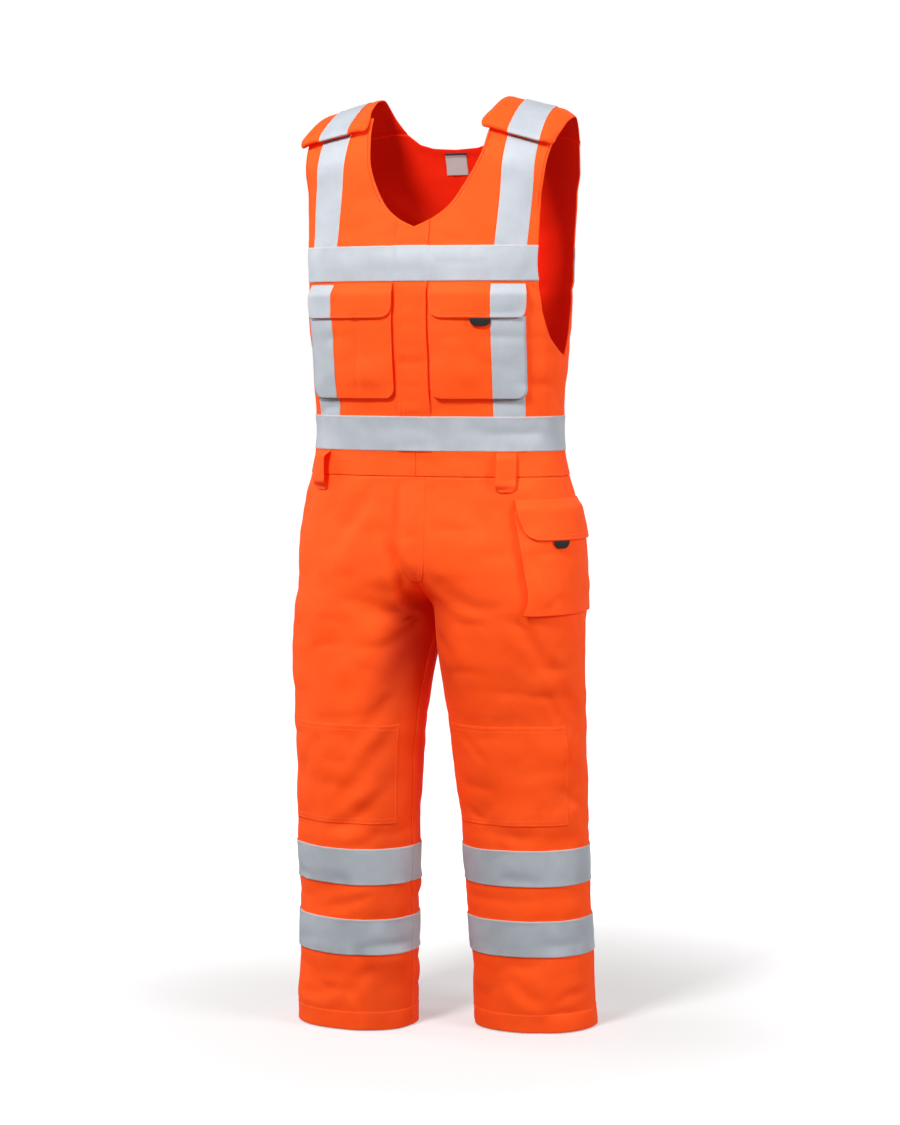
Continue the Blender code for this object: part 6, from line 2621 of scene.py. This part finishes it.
@dataclass
class Studio:
    """A plain pale floor, soft light from high in front, and a camera at the photograph's viewing angle."""

    distance: float = 4.0
    azimuth: float = 20.0
    yaw: float = 19.79
    pitch: float = 4.5
    camera_height: float = 0.99
    lens: float = 88.0
    floor_gap: float = 0.0015

    def build(self) -> None:
        """Builds the floor, the lights and the camera."""
        self.build_floor()
        self.build_lights()
        self.build_camera()

    def build_floor(self) -> None:
        """A wide pale floor just under the hems."""
        height = (HEM - SHOULDER) / 1000 - self.floor_gap
        half = 30.0
        data = bpy.data.meshes.new("floor")
        corners = [(-half, -half, height), (half, -half, height), (half, half, height), (-half, half, height)]
        data.from_pydata(corners, [], [(0, 1, 2, 3)])
        floor = bpy.data.objects.new("floor", data)
        bpy.context.scene.collection.objects.link(floor)
        made, add, shader = new_finish("pale_floor")
        white = (1.0, 1.0, 1.0, 1.0)
        feed(shader, {"Base Color": (0.45, 0.45, 0.45, 1.0), "Roughness": 0.9, "Specular IOR Level": 0.1})
        # Away from the lamps the floor glows more, so that it stays as pale as it is under them
        place = add("ShaderNodeTexCoord", "Object")
        level = add("ShaderNodeVectorMath", "Vector", {0: place, 1: (1.0, 1.0, 0.0)}, operation="MULTIPLY")
        away = add("ShaderNodeVectorMath", "Value", {0: level}, operation="LENGTH")
        paler = {"Value": away, "From Min": 0.3, "From Max": 1.1, "To Min": 0.41, "To Max": 0.95}
        glow = add("ShaderNodeMapRange", "Result", paler, interpolation_type="SMOOTHSTEP")
        feed(shader, {"Emission Color": white, "Emission Strength": glow})
        data.materials.append(made)
        # The floor's own bounce is left out, and the dome's lower half stands for it
        floor.visible_diffuse = False
        floor.visible_glossy = False

    def build_lights(self) -> None:
        """A soft key high in front, a weaker light on each side, and a pale surround, white behind."""
        world = bpy.data.worlds.new("studio")
        world.use_nodes = True
        bpy.context.scene.world = world
        add = partial(add_node, world.node_tree)
        way = add("ShaderNodeTexCoord", "Generated")
        deep = add("ShaderNodeSeparateXYZ", "Y", {"Vector": way})
        height = add("ShaderNodeSeparateXYZ", "Z", {"Vector": way})
        rising = {"Value": height, "From Min": -0.5, "From Max": 1.0, "To Min": 0.03, "To Max": 0.2}
        dome = add("ShaderNodeMapRange", "Result", rising)
        level = add("ShaderNodeMath", "Value", {0: height}, operation="ABSOLUTE")
        near = {"Value": level, "From Min": 0.12, "From Max": 0.2, "To Min": 0.75, "To Max": 0.0}
        horizon = add("ShaderNodeMapRange", "Result", near, interpolation_type="SMOOTHSTEP")
        dome = add("ShaderNodeMath", "Value", {0: dome, 1: horizon}, operation="MAXIMUM")
        white = {"Value": deep, "From Min": 0.78, "From Max": 0.85, "To Min": 0.0, "To Max": 1.0}
        behind = add("ShaderNodeMapRange", "Result", white, interpolation_type="SMOOTHSTEP")
        pale = add("ShaderNodeMath", "Value", {0: dome, 1: behind}, operation="MAXIMUM")
        feed(world.node_tree.nodes["Background"], {"Strength": pale, "Color": (1.0, 1.0, 1.0, 1.0)})
        for name, place, aim, size, watts in (
            ("key", (-0.7, -2.7, 2.0), (0.0, 0.0, -0.4), 0.8, 152.0),
            ("left", (-3.0, -0.2, 0.5), (0.0, 0.0, -0.5), 1.2, 34.0),
            ("right", (2.9, -0.7, 0.6), (0.0, 0.0, -0.5), 1.2, 60.0)
        ):
            data = bpy.data.lights.new(name, "AREA")
            data.shape = "SQUARE"
            data.size = size
            data.energy = watts
            lamp = bpy.data.objects.new(name, data)
            lamp.location = place
            way = np.array(aim) - np.array(place)
            lamp.rotation_euler = (
                math.acos(-way[2] / np.linalg.norm(way)), 0.0, math.atan2(way[1], way[0]) - math.pi / 2
            )
            bpy.context.scene.collection.objects.link(lamp)

    def build_camera(self) -> None:
        """The camera, aimed as in the photograph."""
        data = bpy.data.cameras.new("camera")
        data.sensor_fit = "VERTICAL"
        data.sensor_height = 36.0
        data.lens = self.lens
        camera = bpy.data.objects.new("camera", data)
        turn = math.radians(self.azimuth)
        height = self.camera_height - SHOULDER / 1000
        camera.location = (self.distance * math.sin(turn), -self.distance * math.cos(turn), height)
        camera.rotation_euler = (math.radians(90 - self.pitch), 0.0, math.radians(self.yaw))
        bpy.context.scene.collection.objects.link(camera)
        bpy.context.scene.camera = camera


def main() -> None:
    """Builds every sub-assembly in order."""
    logging.basicConfig(level=logging.INFO, format="%(name)s %(message)s")
    bpy.context.scene.view_settings.view_transform = "Standard"
    form = Form()
    cutter = Cutter(form, Relief(form), Wardrobe())
    needle = Needle(cutter)
    Studio().build()
    bib = Bib(cutter, needle)
    bib.build()
    Straps(cutter, needle).build()
    waistband = Waistband(cutter, needle)
    waistband.build()
    Trousers(cutter, needle).build()
    Placket(cutter, needle).build()
    Pockets(cutter, needle).build()
    Tapes(cutter, needle, bib, waistband).build()
    BeltLoops(cutter, needle).build()
    NeckLabel(cutter).build()
    faces = sum(len(piece.data.polygons) for piece in cutter.made.values())
    LOG.info("%d pieces, %d faces", len(cutter.made), faces)


if __name__ == "__main__":
    main()
